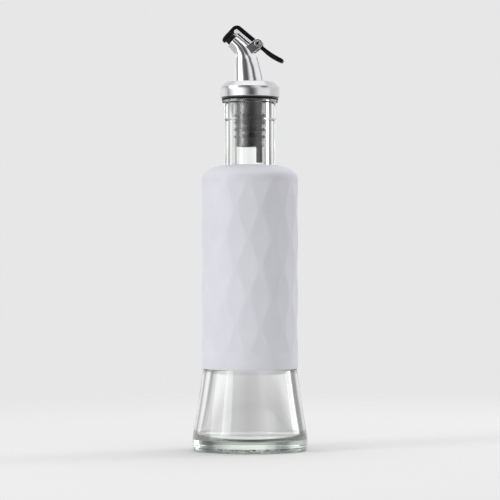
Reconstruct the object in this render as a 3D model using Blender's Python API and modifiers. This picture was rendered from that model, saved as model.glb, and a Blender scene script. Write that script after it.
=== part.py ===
"""Oil cruet: a flared glass bottle in a diamond-relief grip sleeve, with a lift-out pourer.

Metres, +Z up, origin at the centre of the base. The spout's mouth points towards -X and the thumb lever
towards +X.
Run with: blender --background --python part.py
"""

from math import acos, asin, atan, cos, floor, pi, radians, sin, sqrt

import bmesh
import bpy
from mathutils import Matrix, Vector

# Gaps between pieces that touch on the real object
SEAT_GAP = 0.0003
THIN_GAP = 0.0001
PIVOT_CLEARANCE = 0.00008

# How far a cutter runs past the face that it opens
CUT_PAST = 0.003

# Facets of the round pieces
BOTTLE_STEPS = 48
POURER_STEPS = 32
SMALL_STEPS = 24
ARC_STEPS = 5
COARSE_ARC_STEPS = 4
HALF_ROUND_STEPS = 10
WELD_DISTANCE = 0.000001

# Grip sleeve
SLEEVE_RADIUS = 0.0299
SLEEVE_WALL = 0.0014
SLEEVE_PROUD = 0.0005
SHOULDER_RISE = 0.009
SHOULDER_CENTRE_RADIUS = 0.012

# Diamond relief of the sleeve
DIAMONDS_ROUND = 12
DIAMOND_HALF_ROWS = 6
DIAMOND_DEPTH = 0.00055
DIAMOND_CELLS = 2
DIAMOND_BOTTOM_MARGIN = 0.0089
DIAMOND_TOP_MARGIN = 0.0013
DIAMOND_TURN = radians(3.7)

# Glass bottle, outside
FOOT_RADIUS = 0.0358
FOOT_BAND_TOP = 0.0084
FOOT_BAND_EDGE = 0.0004
HEEL_RADIUS = 0.003
CONTACT_RING_WIDTH = 0.0026
PUNT_HEIGHT = 0.0026
PUNT_SLOPE_WIDTH = 0.005
LEDGE_HEIGHT = 0.0505
FLARE_HOLLOW = 0.0003
FLARE_STEPS = 4
BODY_HEIGHT = 0.1188
NECK_RADIUS = 0.01555
NECK_ROOT_FLARE = 0.00055
NECK_ROOT_HEIGHT = 0.0045
NECK_LENGTH = 0.0395
FINISH_STEP = 0.00065
FINISH_HEIGHT = 0.0119
LIP_STEP = 0.0013
LIP_HEIGHT = 0.001
LIP_EDGE = 0.0005

# Glass bottle, inside
BORE_RADIUS = 0.0104
BASE_THICKNESS = 0.0078
FLARE_WALL = 0.004
BODY_WALL = 0.0036
INNER_CORNER_RADIUS = 0.005
INNER_SHOULDER_RISE = 0.005
INNER_SHOULDER_END = radians(80)
INNER_SHOULDER_FILLET = 0.0014

# Gasket and stopper
GASKET_THICKNESS = 0.00065
GASKET_OVERHANG = 0.0002
STOPPER_FLANGE_THICKNESS = 0.00285
STOPPER_FLANGE_SHOWN = 0.00075
STOPPER_DEPTH = 0.0293
STOPPER_BODY_INSET = 0.0018
STOPPER_TIP_CHAMFER = 0.0008
FIN_COUNT = 4
FIN_PITCH = 0.00437
FIN_THICKNESS = 0.0018
FIN_EDGE_THICKNESS = 0.0006
FIN_CLEARANCE = 0.0002
TOP_FIN_DEPTH = 0.0098
OIL_CHANNEL_RADIUS = 0.0038
OIL_CHANNEL_X = -0.0022
SPIGOT_WALL = 0.0011
SPIGOT_LENGTH = 0.0075

# Breather tube through the stopper
BREATHER_X = 0.0058
BREATHER_RADIUS = 0.00195
BREATHER_WALL = 0.0007
BREATHER_DEPTH = 0.039

# Metal collar
COLLAR_OVER_LIP = 0.00105
COLLAR_SHEET = 0.0008
COLLAR_BAND_HEIGHT = 0.0058
COLLAR_CHAMFER_WIDTH = 0.0032
COLLAR_CHAMFER_HEIGHT = 0.0037
COLLAR_CHAMFER_START = radians(18)
COLLAR_CHAMFER_END = radians(80)
COLLAR_CHAMFER_STEPS = 3
COLLAR_CROWN = 0.0009

# Cast spout
SPOUT_FLANGE_THICKNESS = 0.0027
SPOUT_FOOT_X = -0.00109
SPOUT_FOOT_RISE = 0.0005
SPOUT_FOOT_RADIUS = 0.00852
SPOUT_FOOT_WALL = 0.0031
SPOUT_LEAN = radians(6.5)
SPOUT_LEG = 0.0122
SPOUT_WAIST_RADIUS = 0.0069
SPOUT_WAIST_WALL = 0.0026
SPOUT_BEND_RADIUS = 0.0145
SPOUT_NOSE_RADIUS = 0.00495
SPOUT_NOSE_WALL = 0.0014
SPOUT_NOSE = 0.00485
MOUTH_TILT = radians(47)
MOUTH_RADIUS = 0.00458
MOUTH_WALL = 0.0012
SPOUT_RESOLUTION = 10
SPOUT_BORE_RESOLUTION = 5
SPOUT_BEND_STEPS = 6

# Vent tube let into the spout's back
VENT_RADIUS = 0.0012
VENT_WALL = 0.0005
VENT_SINK = 0.00035
VENT_ABOVE_WAIST = 0.0014
VENT_BEND_UNDER_FLANGE = 0.0009
VENT_MOUTH_CLEARANCE = 0.0015
VENT_RESOLUTION = 3

# Lever's bracket and pivot pin
PIVOT_X = 0.0052
PIVOT_ABOVE_RIM = 0.03485
BRACKET_TILT = radians(37)
EAR_RADIUS = 0.003
EAR_SHEET = 0.0008
EAR_SPACING = 0.0072
EAR_LENGTH = 0.0085
BRACKET_FLOOR_FRONT = 0.0022
BRACKET_FLOOR_BACK = 0.0026
PIN_RADIUS = 0.0012
PIN_BORE_RADIUS = 0.0009
PIN_BORE_DEPTH = 0.003
PIN_HEAD_RADIUS = 0.002
PIN_HEAD_THICKNESS = 0.0007
PIN_HEAD_ROUND = 0.0002

# Return spring
SPRING_WIRE_RADIUS = 0.00025
SPRING_PITCH = 0.00075
SPRING_FULL_TURNS = 2
SPRING_POINTS_PER_TURN = 12
SPRING_LEG = 0.0042

# Lever and its cap
HUB_RADIUS = 0.0028
HUB_WALL_OVER_SPRING = 0.0006
HUB_PROUD = 0.0001
SPRING_SLOT_DEPTH = 0.0056
ARM_TILT = radians(40.3)
ARM_TOP_FROM_PIVOT = 0.00127
KNEE_RADIUS = 0.0038
TAIL_TILT = radians(34.9)
TAIL_LENGTH = 0.0189
TAIL_TOP_FROM_PIVOT = 0.0011
TAIL_SAG = 0.0008
TAIL_ROOT_THICKNESS = 0.0016
TAIL_TIP_THICKNESS = 0.0024
TAIL_BELLY = 0.0008
TAIL_STEPS = 8
TAIL_EDGE_RADIUS = 0.0011
THUMB_PAD_WIDTH = 0.0086
THUMB_PAD_START = 0.0045
THUMB_PAD_SPREAD = 0.007
THUMB_PAD_CORNER = 0.0035
LEVER_PLAN_HALF_HEIGHT = 0.03
CAP_RADIUS = 0.0046
CAP_THICKNESS = 0.00265
CAP_CROWN = 0.0003
CAP_TOP_EDGE = 0.0016
CAP_LOW_EDGE = 0.0008
ROLL_GUARD_ABOVE_MOUTH = 0.0004

# Mouth seal under the cap
SEAL_HEIGHT = 0.0026
SEAL_TOP_RADIUS = 0.0033
SEAL_TIP_RADIUS = 0.00342
SEAL_STUB_RADIUS = 0.0014
SEAL_STUB_LENGTH = 0.0012

# Bright strip under the lever's arm, with its rolled end over the mouth's lip
STRIP_THICKNESS = 0.0014
STRIP_WIDTH = 0.006
STRIP_BACK = 0.0034
ROLL_RADIUS = 0.00145
ROLL_SEAT_GAP = 0.00015
ROLL_PAST_MOUTH = 0.0011
ROLL_ABOVE_MOUTH = 0.0021

# Heights and radii that follow from the sizes above
SHOULDER_HEIGHT = LEDGE_HEIGHT + BODY_HEIGHT
RIM = SHOULDER_HEIGHT + SHOULDER_RISE + NECK_LENGTH
BODY_RADIUS = SLEEVE_RADIUS - SLEEVE_WALL - SEAT_GAP
FLARE_TOP_RADIUS = SLEEVE_RADIUS - SLEEVE_PROUD
NECK_ROOT_RADIUS = NECK_RADIUS + NECK_ROOT_FLARE
FINISH_RADIUS = NECK_RADIUS + FINISH_STEP
LIP_RADIUS = FINISH_RADIUS + LIP_STEP
GASKET_BOTTOM = RIM + THIN_GAP
STOPPER_FLANGE_BOTTOM = GASKET_BOTTOM + GASKET_THICKNESS + THIN_GAP
STOPPER_TOP = STOPPER_FLANGE_BOTTOM + STOPPER_FLANGE_THICKNESS
STOPPER_RADIUS = BORE_RADIUS - STOPPER_BODY_INSET
COLLAR_RADIUS = LIP_RADIUS + COLLAR_OVER_LIP
COLLAR_BOTTOM = STOPPER_FLANGE_BOTTOM + STOPPER_FLANGE_SHOWN
COLLAR_SHOULDER = COLLAR_BOTTOM + COLLAR_BAND_HEIGHT
COLLAR_TOP_RADIUS = COLLAR_RADIUS - COLLAR_CHAMFER_WIDTH
COLLAR_TOP = COLLAR_SHOULDER + COLLAR_CHAMFER_HEIGHT
FLANGE_RADIUS = COLLAR_RADIUS - COLLAR_SHEET - SEAT_GAP
SPOUT_FLANGE_BOTTOM = STOPPER_TOP + SEAT_GAP
SPOUT_FLANGE_TOP = SPOUT_FLANGE_BOTTOM + SPOUT_FLANGE_THICKNESS
SPIGOT_RADIUS = OIL_CHANNEL_RADIUS + SPIGOT_WALL
SPOUT_FOOT = COLLAR_TOP + COLLAR_CROWN + SPOUT_FOOT_RISE
PIVOT = Vector((PIVOT_X, 0, RIM + PIVOT_ABOVE_RIM))
EAR_OUTER = EAR_SPACING / 2 + EAR_SHEET
HUB_HALF_WIDTH = EAR_SPACING / 2 - SEAT_GAP
ARM_HALF_WIDTH = HUB_HALF_WIDTH - HUB_PROUD
PIVOT_HOLE_RADIUS = PIN_RADIUS + PIVOT_CLEARANCE
COIL_RADIUS = PIN_RADIUS + SEAT_GAP + SPRING_WIRE_RADIUS
ROLL_SEAT_RADIUS = ROLL_RADIUS + ROLL_SEAT_GAP
ROLL_FROM_MOUTH_AXIS = MOUTH_RADIUS + ROLL_PAST_MOUTH
CAP_BOTTOM = SEAT_GAP + SEAL_HEIGHT + 2 * THIN_GAP
CAP_TOP = CAP_BOTTOM + CAP_THICKNESS
UP = Vector((0, 0, 1))
SIDEWAYS = Vector((0, 1, 0))


def heading(tilt):
    """Unit vector that leans from +Z towards the mouth's side by tilt."""
    return Vector((-sin(tilt), 0, cos(tilt)))


def backwards(tilt):
    """Unit vector square to heading(tilt), towards the lever's side."""
    return Vector((cos(tilt), 0, sin(tilt)))


def downhill(slope):
    """Unit vector that falls away from the mouth's side at a slope."""
    return Vector((cos(slope), 0, -sin(slope)))


def uphill_normal(slope):
    """Unit vector square to downhill(slope), upwards."""
    return Vector((sin(slope), 0, cos(slope)))


def start_scene():
    for old in list(bpy.data.objects):
        bpy.data.objects.remove(old, do_unlink=True)
    for name in ("oil_cruet", "cutters"):
        collection = bpy.data.collections.new(name)
        bpy.context.scene.collection.children.link(collection)
    return bpy.data.collections["oil_cruet"], bpy.data.collections["cutters"]


PARTS, CUTTERS = start_scene()


def material(name, colour, roughness, metallic=0.0, transmission=0.0):
    made = bpy.data.materials.new(name)
    made.use_nodes = True
    made.diffuse_color = (*colour, 1.0)
    shader = made.node_tree.nodes["Principled BSDF"]
    shader.inputs["Base Color"].default_value = (*colour, 1.0)
    shader.inputs["Roughness"].default_value = roughness
    shader.inputs["Metallic"].default_value = metallic
    shader.inputs["Transmission Weight"].default_value = transmission
    return made


CLEAR_GLASS = material("clear_glass", (0.86, 0.92, 0.89), 0.03, transmission=1.0)
PALE_SILICONE = material("pale_silicone", (0.74, 0.74, 0.80), 0.55)
BLACK_RUBBER = material("black_rubber", (0.02, 0.02, 0.022), 0.45)
SATIN_STEEL = material("satin_steel", (0.62, 0.62, 0.63), 0.32, metallic=1.0)
POLISHED_CHROME = material("polished_chrome", (0.80, 0.80, 0.82), 0.08, metallic=1.0)
BRACKET_STEEL = material("bracket_steel", (0.50, 0.50, 0.52), 0.25, metallic=1.0)
SPRING_STEEL = material("spring_steel", (0.55, 0.55, 0.55), 0.3, metallic=1.0)
BLACK_PLASTIC = material("black_plastic", (0.018, 0.018, 0.02), 0.35)
GREY_PLASTIC = material("grey_plastic", (0.10, 0.10, 0.10), 0.4)


def add_object(name, mesh, finish=None):
    """Link a mesh as a named part, or as a cutter when it has no finish."""
    made = bpy.data.objects.new(name, mesh)
    if finish is None:
        CUTTERS.objects.link(made)
        made.hide_render = True
        made.display_type = "WIRE"
    else:
        PARTS.objects.link(made)
        mesh.materials.append(finish)
    return made


def boolean(target, operation, other):
    modifier = target.modifiers.new(operation.lower(), "BOOLEAN")
    modifier.operation = operation
    modifier.solver = "EXACT"
    modifier.object = other


def cut(target, *cutters):
    for cutter in cutters:
        boolean(target, "DIFFERENCE", cutter)


def join(target, *pieces):
    for piece in pieces:
        boolean(target, "UNION", piece)


def bow(depth, share):
    """Parabola over a share from 0 to 1, zero at both ends and as deep as depth in its middle."""
    return 4 * depth * share * (1 - share)


def bow_slope(depth, share):
    """Rise of bow(depth, share) per share."""
    return 4 * depth * (1 - 2 * share)


def arc(centre_r, centre_z, radius_r, radius_z, start, end, steps=ARC_STEPS):
    """Points of an elliptical arc in the (r, z) plane, angles from the +r axis."""
    return [
        (
            centre_r + radius_r * cos(start + (end - start) * i / steps),
            centre_z + radius_z * sin(start + (end - start) * i / steps),
        )
        for i in range(steps + 1)
    ]


def turned(name, profile, steps, finish=None, closed=False):
    """Turn an (r, z) profile about Z. It runs down its outer side, or round a ring's section that way."""
    mesh = bpy.data.meshes.new(name)
    edges = [(i, i + 1) for i in range(len(profile) - 1)]
    if closed:
        edges.append((len(profile) - 1, 0))
    mesh.from_pydata([(r, 0, z) for r, z in profile], edges, [])
    made = add_object(name, mesh, finish)
    screw = made.modifiers.new("turn", "SCREW")
    screw.axis = "Z"
    screw.angle = 2 * pi
    screw.steps = steps
    screw.render_steps = steps
    screw.use_merge_vertices = True
    screw.merge_threshold = WELD_DISTANCE
    return made


def cylinder(name, radius, start, end, steps=SMALL_STEPS, finish=None):
    """A round bar between two points."""
    axis = Vector(end) - Vector(start)
    shape = bmesh.new()
    bmesh.ops.create_cone(
        shape, cap_ends=True, segments=steps, radius1=radius, radius2=radius, depth=axis.length
    )
    turn = UP.rotation_difference(axis).to_matrix().to_4x4()
    middle = Matrix.Translation((Vector(start) + Vector(end)) / 2)
    bmesh.ops.transform(shape, matrix=middle @ turn, verts=shape.verts)
    mesh = bpy.data.meshes.new(name)
    shape.to_mesh(mesh)
    shape.free()
    return add_object(name, mesh, finish)


def meshed(curve_object, finish=None):
    """Replace a curve object by its closed mesh, with the loose caps welded on."""
    bpy.context.view_layer.update()
    evaluated = curve_object.evaluated_get(bpy.context.evaluated_depsgraph_get())
    mesh = bpy.data.meshes.new_from_object(evaluated)
    name = curve_object.name
    placed = curve_object.matrix_world.copy()
    bpy.data.objects.remove(curve_object, do_unlink=True)
    shape = bmesh.new()
    shape.from_mesh(mesh)
    bmesh.ops.remove_doubles(shape, verts=shape.verts, dist=WELD_DISTANCE)
    shape.to_mesh(mesh)
    shape.free()
    mesh.materials.clear()
    mesh.name = name
    made = add_object(name, mesh, finish)
    made.matrix_world = placed
    return made


def tube(name, points, radii, resolution, finish=None):
    """A round tube through the points, with its own radius at each."""
    curve = bpy.data.curves.new(name, "CURVE")
    curve.dimensions = "3D"
    curve.bevel_depth = 1.0
    curve.bevel_resolution = resolution
    curve.use_fill_caps = True
    spline = curve.splines.new("POLY")
    spline.points.add(len(points) - 1)
    for knot, place, radius in zip(spline.points, points, radii):
        knot.co = (*place, 1.0)
        knot.radius = radius
    made = bpy.data.objects.new(name, curve)
    CUTTERS.objects.link(made)
    return meshed(made, finish)


def rounded(corners):
    """Outline points for [(point, radius)], each corner with a radius turned into an arc."""
    outline = []
    for i, (corner, radius) in enumerate(corners):
        if radius == 0:
            outline.append(corner)
            continue
        to_last = (corners[i - 1][0] - corner).normalized()
        to_next = (corners[(i + 1) % len(corners)][0] - corner).normalized()
        half_angle = to_last.angle(to_next) / 2
        centre = corner + (to_last + to_next).normalized() * radius / sin(half_angle)
        reach = sqrt(radius**2 / sin(half_angle) ** 2 - radius**2)
        first = corner + to_last * reach - centre
        last = corner + to_next * reach - centre
        for step in range(ARC_STEPS + 1):
            share = step / ARC_STEPS
            outline.append(centre + first.slerp(last, share).normalized() * radius)
    return outline


def round_end(centre, side, out, radius, start=0.0):
    """Outline points about a centre, from its side direction over its out direction to the other side."""
    angles = [start + (pi - start) * i / HALF_ROUND_STEPS for i in range(HALF_ROUND_STEPS + 1)]
    return [centre + (side * cos(a) + out * sin(a)) * radius for a in angles]


def plate(name, outline, half_thickness, middle=0.0, upright=True, finish=None):
    """A flat outline given thickness: upright in XZ about y = middle, or flat in XY about z = middle."""
    curve = bpy.data.curves.new(name, "CURVE")
    curve.dimensions = "2D"
    curve.fill_mode = "BOTH"
    curve.extrude = half_thickness
    spline = curve.splines.new("POLY")
    spline.points.add(len(outline) - 1)
    spline.use_cyclic_u = True
    for knot, place in zip(spline.points, outline):
        knot.co = (place.x, place.z if upright else place.y, 0, 1)
    made = bpy.data.objects.new(name, curve)
    CUTTERS.objects.link(made)
    made.location = (0, middle, 0) if upright else (0, 0, middle)
    made.rotation_euler = (pi / 2, 0, 0) if upright else (0, 0, 0)
    return meshed(made, finish)


def smooth(piece, angle=radians(30)):
    piece.data.shade_smooth()
    piece.data.set_sharp_from_angle(angle=angle)
    return piece


def shoulder(outer_radius, rise, root_radius):
    """Shoulder profile from the neck's root out to the body's wall, going down."""
    wide = outer_radius - SHOULDER_CENTRE_RADIUS
    root = asin(sqrt(1 - ((root_radius - SHOULDER_CENTRE_RADIUS) / wide) ** 2))
    return arc(SHOULDER_CENTRE_RADIUS, SHOULDER_HEIGHT, wide, rise, root, 0)


def flare_radius(z):
    """Outer radius of the glass foot between its band and the ledge."""
    share = (z - FOOT_BAND_TOP) / (LEDGE_HEIGHT - FOOT_BAND_TOP)
    straight = FOOT_RADIUS + (FLARE_TOP_RADIUS - FOOT_RADIUS) * share
    return straight - bow(FLARE_HOLLOW, share)


def bottle_inside():
    """Inner wall from the middle of the floor to the rim. The flare's wall thickens up to the ledge."""
    body_inside = BODY_RADIUS - BODY_WALL
    floor_top = BASE_THICKNESS + INNER_CORNER_RADIUS
    floor_edge = flare_radius(floor_top) - FLARE_WALL
    ledge_wall = FLARE_TOP_RADIUS - body_inside
    profile = [(0, BASE_THICKNESS)]
    profile += arc(
        floor_edge - INNER_CORNER_RADIUS,
        floor_top,
        INNER_CORNER_RADIUS,
        INNER_CORNER_RADIUS,
        -pi / 2,
        0,
        COARSE_ARC_STEPS,
    )
    for step in range(1, FLARE_STEPS + 1):
        share = step / FLARE_STEPS
        z = floor_top + (LEDGE_HEIGHT - floor_top) * share
        profile.append((flare_radius(z) - FLARE_WALL - (ledge_wall - FLARE_WALL) * share, z))
    profile += arc(
        BORE_RADIUS,
        SHOULDER_HEIGHT,
        body_inside - BORE_RADIUS,
        INNER_SHOULDER_RISE,
        0,
        INNER_SHOULDER_END,
        COARSE_ARC_STEPS,
    )
    inner_top = SHOULDER_HEIGHT + INNER_SHOULDER_RISE
    return profile + [(BORE_RADIUS, inner_top + INNER_SHOULDER_FILLET), (BORE_RADIUS, RIM)]


def glass_bottle():
    lip_bottom = RIM - LIP_EDGE - LIP_HEIGHT
    finish_bottom = RIM - FINISH_HEIGHT
    neck = [
        (LIP_RADIUS - LIP_EDGE, RIM),
        (LIP_RADIUS, RIM - LIP_EDGE),
        (LIP_RADIUS, lip_bottom),
        (FINISH_RADIUS, lip_bottom - LIP_STEP / 2),
        (FINISH_RADIUS, finish_bottom),
        (NECK_RADIUS, finish_bottom - FINISH_STEP),
        (NECK_RADIUS, SHOULDER_HEIGHT + SHOULDER_RISE + NECK_ROOT_HEIGHT),
        (NECK_ROOT_RADIUS, SHOULDER_HEIGHT + SHOULDER_RISE),
    ]
    shoulder_rise = SHOULDER_RISE - SLEEVE_WALL - SEAT_GAP
    body = shoulder(BODY_RADIUS, shoulder_rise, NECK_ROOT_RADIUS)
    body += [(BODY_RADIUS, LEDGE_HEIGHT), (FLARE_TOP_RADIUS, LEDGE_HEIGHT)]
    flare = [
        (flare_radius(z), z)
        for z in (
            LEDGE_HEIGHT + (FOOT_BAND_TOP + FOOT_BAND_EDGE - LEDGE_HEIGHT) * i / FLARE_STEPS
            for i in range(1, FLARE_STEPS + 1)
        )
    ]
    foot = [(FOOT_RADIUS, FOOT_BAND_TOP)]
    foot += arc(
        FOOT_RADIUS - HEEL_RADIUS, HEEL_RADIUS, HEEL_RADIUS, HEEL_RADIUS, 0, -pi / 2, COARSE_ARC_STEPS
    )
    ring_inside = FOOT_RADIUS - HEEL_RADIUS - CONTACT_RING_WIDTH
    foot += [(ring_inside, 0), (ring_inside - PUNT_SLOPE_WIDTH, PUNT_HEIGHT), (0, PUNT_HEIGHT)]
    profile = bottle_inside() + neck + body + flare + foot
    return turned("glass_bottle", profile, BOTTLE_STEPS, CLEAR_GLASS)


def diamond_depth(across, up):
    """Depth of the relief at a place counted in half diamonds, zero where across +- up is even."""
    rising = ((across + up) / 2) % 1
    falling = ((across - up) / 2) % 1
    return bow(bow(DIAMOND_DEPTH, rising), falling)


def grip_sleeve():
    """Rings of points joined into one shell, because no turned profile holds the diamonds."""
    columns = 2 * DIAMONDS_ROUND * DIAMOND_CELLS
    bottom = LEDGE_HEIGHT + SEAT_GAP
    pattern_bottom = LEDGE_HEIGHT + DIAMOND_BOTTOM_MARGIN
    pattern_top = SHOULDER_HEIGHT - DIAMOND_TOP_MARGIN
    pattern_rows = DIAMOND_HALF_ROWS * DIAMOND_CELLS
    hole_radius = NECK_ROOT_RADIUS + SEAT_GAP
    inner_radius = SLEEVE_RADIUS - SLEEVE_WALL
    outer_shoulder = shoulder(SLEEVE_RADIUS, SHOULDER_RISE, hole_radius)
    inner_shoulder = shoulder(inner_radius, SHOULDER_RISE - SLEEVE_WALL, hole_radius)
    shape = bmesh.new()

    def ring(radius_at, z):
        angles = [DIAMOND_TURN + 2 * pi * i / columns for i in range(columns)]
        return [
            shape.verts.new((radius_at(i) * sin(angle), -radius_at(i) * cos(angle), z))
            for i, angle in enumerate(angles)
        ]

    def plain_ring(radius, z):
        return ring(lambda i: radius, z)

    rings = [plain_ring(SLEEVE_RADIUS, bottom)]
    for row in range(pattern_rows + 1):
        z = pattern_bottom + (pattern_top - pattern_bottom) * row / pattern_rows
        strength = 0 if row in (0, pattern_rows) else 1
        up = row / DIAMOND_CELLS
        rings.append(
            ring(lambda i: SLEEVE_RADIUS - strength * diamond_depth(i / DIAMOND_CELLS, up), z)
        )
    rings += [plain_ring(r, z) for r, z in reversed(outer_shoulder)]
    rings += [plain_ring(r, z) for r, z in inner_shoulder]
    rings.append(plain_ring(inner_radius, bottom))
    for row in range(len(rings)):
        lower = rings[row]
        upper = rings[(row + 1) % len(rings)]
        for i in range(columns):
            j = (i + 1) % columns
            half_row = floor((row - 1) / DIAMOND_CELLS)
            if (floor(i / DIAMOND_CELLS) + half_row) % 2 == 0:
                shape.faces.new((lower[i], lower[j], upper[j]))
                shape.faces.new((lower[i], upper[j], upper[i]))
            else:
                shape.faces.new((lower[i], lower[j], upper[i]))
                shape.faces.new((lower[j], upper[j], upper[i]))
    mesh = bpy.data.meshes.new("grip_sleeve")
    shape.to_mesh(mesh)
    shape.free()
    return smooth(add_object("grip_sleeve", mesh, PALE_SILICONE), radians(50))


def rim_gasket():
    hole = BORE_RADIUS + SEAT_GAP
    edge = LIP_RADIUS + GASKET_OVERHANG
    top = GASKET_BOTTOM + GASKET_THICKNESS
    section = [(hole, top), (edge, top), (edge, GASKET_BOTTOM), (hole, GASKET_BOTTOM)]
    return turned("rim_gasket", section, BOTTLE_STEPS, BLACK_RUBBER, closed=True)


def stopper():
    tip = RIM - STOPPER_DEPTH
    fin_radius = BORE_RADIUS - FIN_CLEARANCE
    profile = [
        (0, STOPPER_TOP),
        (FLANGE_RADIUS, STOPPER_TOP),
        (FLANGE_RADIUS, STOPPER_FLANGE_BOTTOM),
        (STOPPER_RADIUS, STOPPER_FLANGE_BOTTOM),
    ]
    for fin in range(FIN_COUNT):
        z = RIM - TOP_FIN_DEPTH - fin * FIN_PITCH
        profile += [
            (STOPPER_RADIUS, z + FIN_THICKNESS / 2),
            (fin_radius, z + FIN_EDGE_THICKNESS / 2),
            (fin_radius, z - FIN_EDGE_THICKNESS / 2),
            (STOPPER_RADIUS, z - FIN_THICKNESS / 2),
        ]
    profile += [
        (STOPPER_RADIUS, tip + STOPPER_TIP_CHAMFER),
        (STOPPER_RADIUS - STOPPER_TIP_CHAMFER, tip),
        (0, tip),
    ]
    made = turned("stopper", profile, POURER_STEPS, BLACK_RUBBER)
    past = UP * CUT_PAST
    low = Vector((OIL_CHANNEL_X, 0, tip))
    high = Vector((OIL_CHANNEL_X, 0, STOPPER_TOP))
    breather_low = Vector((BREATHER_X, 0, tip))
    breather_high = Vector((BREATHER_X, 0, STOPPER_TOP))
    cut(
        made,
        cylinder("oil_channel", OIL_CHANNEL_RADIUS, low - past, high + past),
        cylinder("spigot_seat", SPIGOT_RADIUS + SEAT_GAP, high - UP * SPIGOT_LENGTH, high + past),
        cylinder("breather_hole", BREATHER_RADIUS + THIN_GAP, breather_low - past, breather_high + past),
    )
    return made


def breather_tube():
    bottom = RIM - BREATHER_DEPTH
    bore = BREATHER_RADIUS - BREATHER_WALL
    section = [(bore, STOPPER_TOP), (BREATHER_RADIUS, STOPPER_TOP), (BREATHER_RADIUS, bottom), (bore, bottom)]
    made = turned("breather_tube", section, SMALL_STEPS, GREY_PLASTIC, closed=True)
    made.location.x = BREATHER_X
    return made


def spout_route():
    """Centre line of the spout as [(point, tilt, radius, wall)] from its foot to its mouth."""
    foot = Vector((SPOUT_FOOT_X, 0, SPOUT_FOOT))
    waist = foot + heading(SPOUT_LEAN) * SPOUT_LEG
    stops = [
        (foot, SPOUT_LEAN / 2, SPOUT_FOOT_RADIUS, SPOUT_FOOT_WALL),
        (
            (foot + waist) / 2,
            SPOUT_LEAN,
            (SPOUT_FOOT_RADIUS + SPOUT_WAIST_RADIUS) / 2,
            (SPOUT_FOOT_WALL + SPOUT_WAIST_WALL) / 2,
        ),
    ]
    centre = waist - backwards(SPOUT_LEAN) * SPOUT_BEND_RADIUS
    for step in range(SPOUT_BEND_STEPS + 1):
        share = step / SPOUT_BEND_STEPS
        tilt = SPOUT_LEAN + (MOUTH_TILT - SPOUT_LEAN) * share
        stops.append(
            (
                centre + backwards(tilt) * SPOUT_BEND_RADIUS,
                tilt,
                SPOUT_WAIST_RADIUS + (SPOUT_NOSE_RADIUS - SPOUT_WAIST_RADIUS) * share,
                SPOUT_WAIST_WALL + (SPOUT_NOSE_WALL - SPOUT_WAIST_WALL) * share,
            )
        )
    mouth = stops[-1][0] + heading(MOUTH_TILT) * SPOUT_NOSE
    stops.append((mouth, MOUTH_TILT, MOUTH_RADIUS, MOUTH_WALL))
    return stops


ROUTE = spout_route()
MOUTH = ROUTE[-1][0]


def at_mouth(along_lip, above):
    """A point in the mouth's frame: along the lip towards the arm, and out of the mouth."""
    return MOUTH + backwards(MOUTH_TILT) * along_lip + heading(MOUTH_TILT) * above


def spout_body(name, growth):
    """The spout's outside, grown by a gap where it is used to cut a neighbour."""
    foot = ROUTE[0][0]
    start = Vector((foot.x, 0, SPOUT_FLANGE_TOP - THIN_GAP))
    points = [start] + [stop[0] for stop in ROUTE]
    radii = [SPOUT_FOOT_RADIUS + growth] + [stop[2] + growth for stop in ROUTE]
    return tube(name, points, radii, SPOUT_RESOLUTION)


def spout_bore():
    """Cutter for the oil's way from the spigot to the mouth."""
    entry = Vector((OIL_CHANNEL_X, 0, SPOUT_FLANGE_BOTTOM))
    below = entry - UP * (SPIGOT_LENGTH + SEAT_GAP)
    points = [below, entry] + [stop[0] for stop in ROUTE] + [at_mouth(0, CUT_PAST)]
    radii = [OIL_CHANNEL_RADIUS, OIL_CHANNEL_RADIUS]
    radii += [stop[2] - stop[3] for stop in ROUTE]
    radii.append(radii[-1])
    return tube("spout_bore", points, radii, SPOUT_BORE_RESOLUTION)


def back_of_spout(stop, sink):
    place, tilt, radius, _ = stop
    return place + backwards(tilt) * (radius - sink)


def vent_route():
    """Centre line of the vent tube, from its open top down the spout's back to the breather tube."""
    down_the_back = [back_of_spout(stop, VENT_SINK) for stop in reversed(ROUTE[1:3])]
    upwards = (down_the_back[0] - down_the_back[1]).normalized()
    top = down_the_back[0] + upwards * VENT_ABOVE_WAIST
    foot = Vector((SPOUT_FOOT_X + SPOUT_FOOT_RADIUS - VENT_SINK, 0, SPOUT_FOOT))
    collar_pass = Vector((foot.x, 0, COLLAR_TOP - COLLAR_SHEET))
    flange_pass = Vector((BREATHER_X, 0, SPOUT_FLANGE_TOP - VENT_BEND_UNDER_FLANGE))
    bottom = Vector((BREATHER_X, 0, STOPPER_TOP + THIN_GAP))
    return [top] + down_the_back + [foot, collar_pass, flange_pass, bottom]


VENT_ROUTE = vent_route()


def vent_cutter(name, gap):
    """A tube round the vent's route, longer than it at both ends."""
    top = VENT_ROUTE[0]
    upwards = (top - VENT_ROUTE[1]).normalized()
    past_top = top + upwards * VENT_MOUTH_CLEARANCE
    points = [past_top] + VENT_ROUTE[1:-1] + [VENT_ROUTE[-1] - UP * CUT_PAST]
    return tube(name, points, [VENT_RADIUS + gap] * len(points), VENT_RESOLUTION)


def vent_tube():
    made = tube("vent_tube", VENT_ROUTE, [VENT_RADIUS] * len(VENT_ROUTE), VENT_RESOLUTION, POLISHED_CHROME)
    cut(made, vent_cutter("vent_bore", -VENT_WALL))
    return smooth(made)


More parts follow.
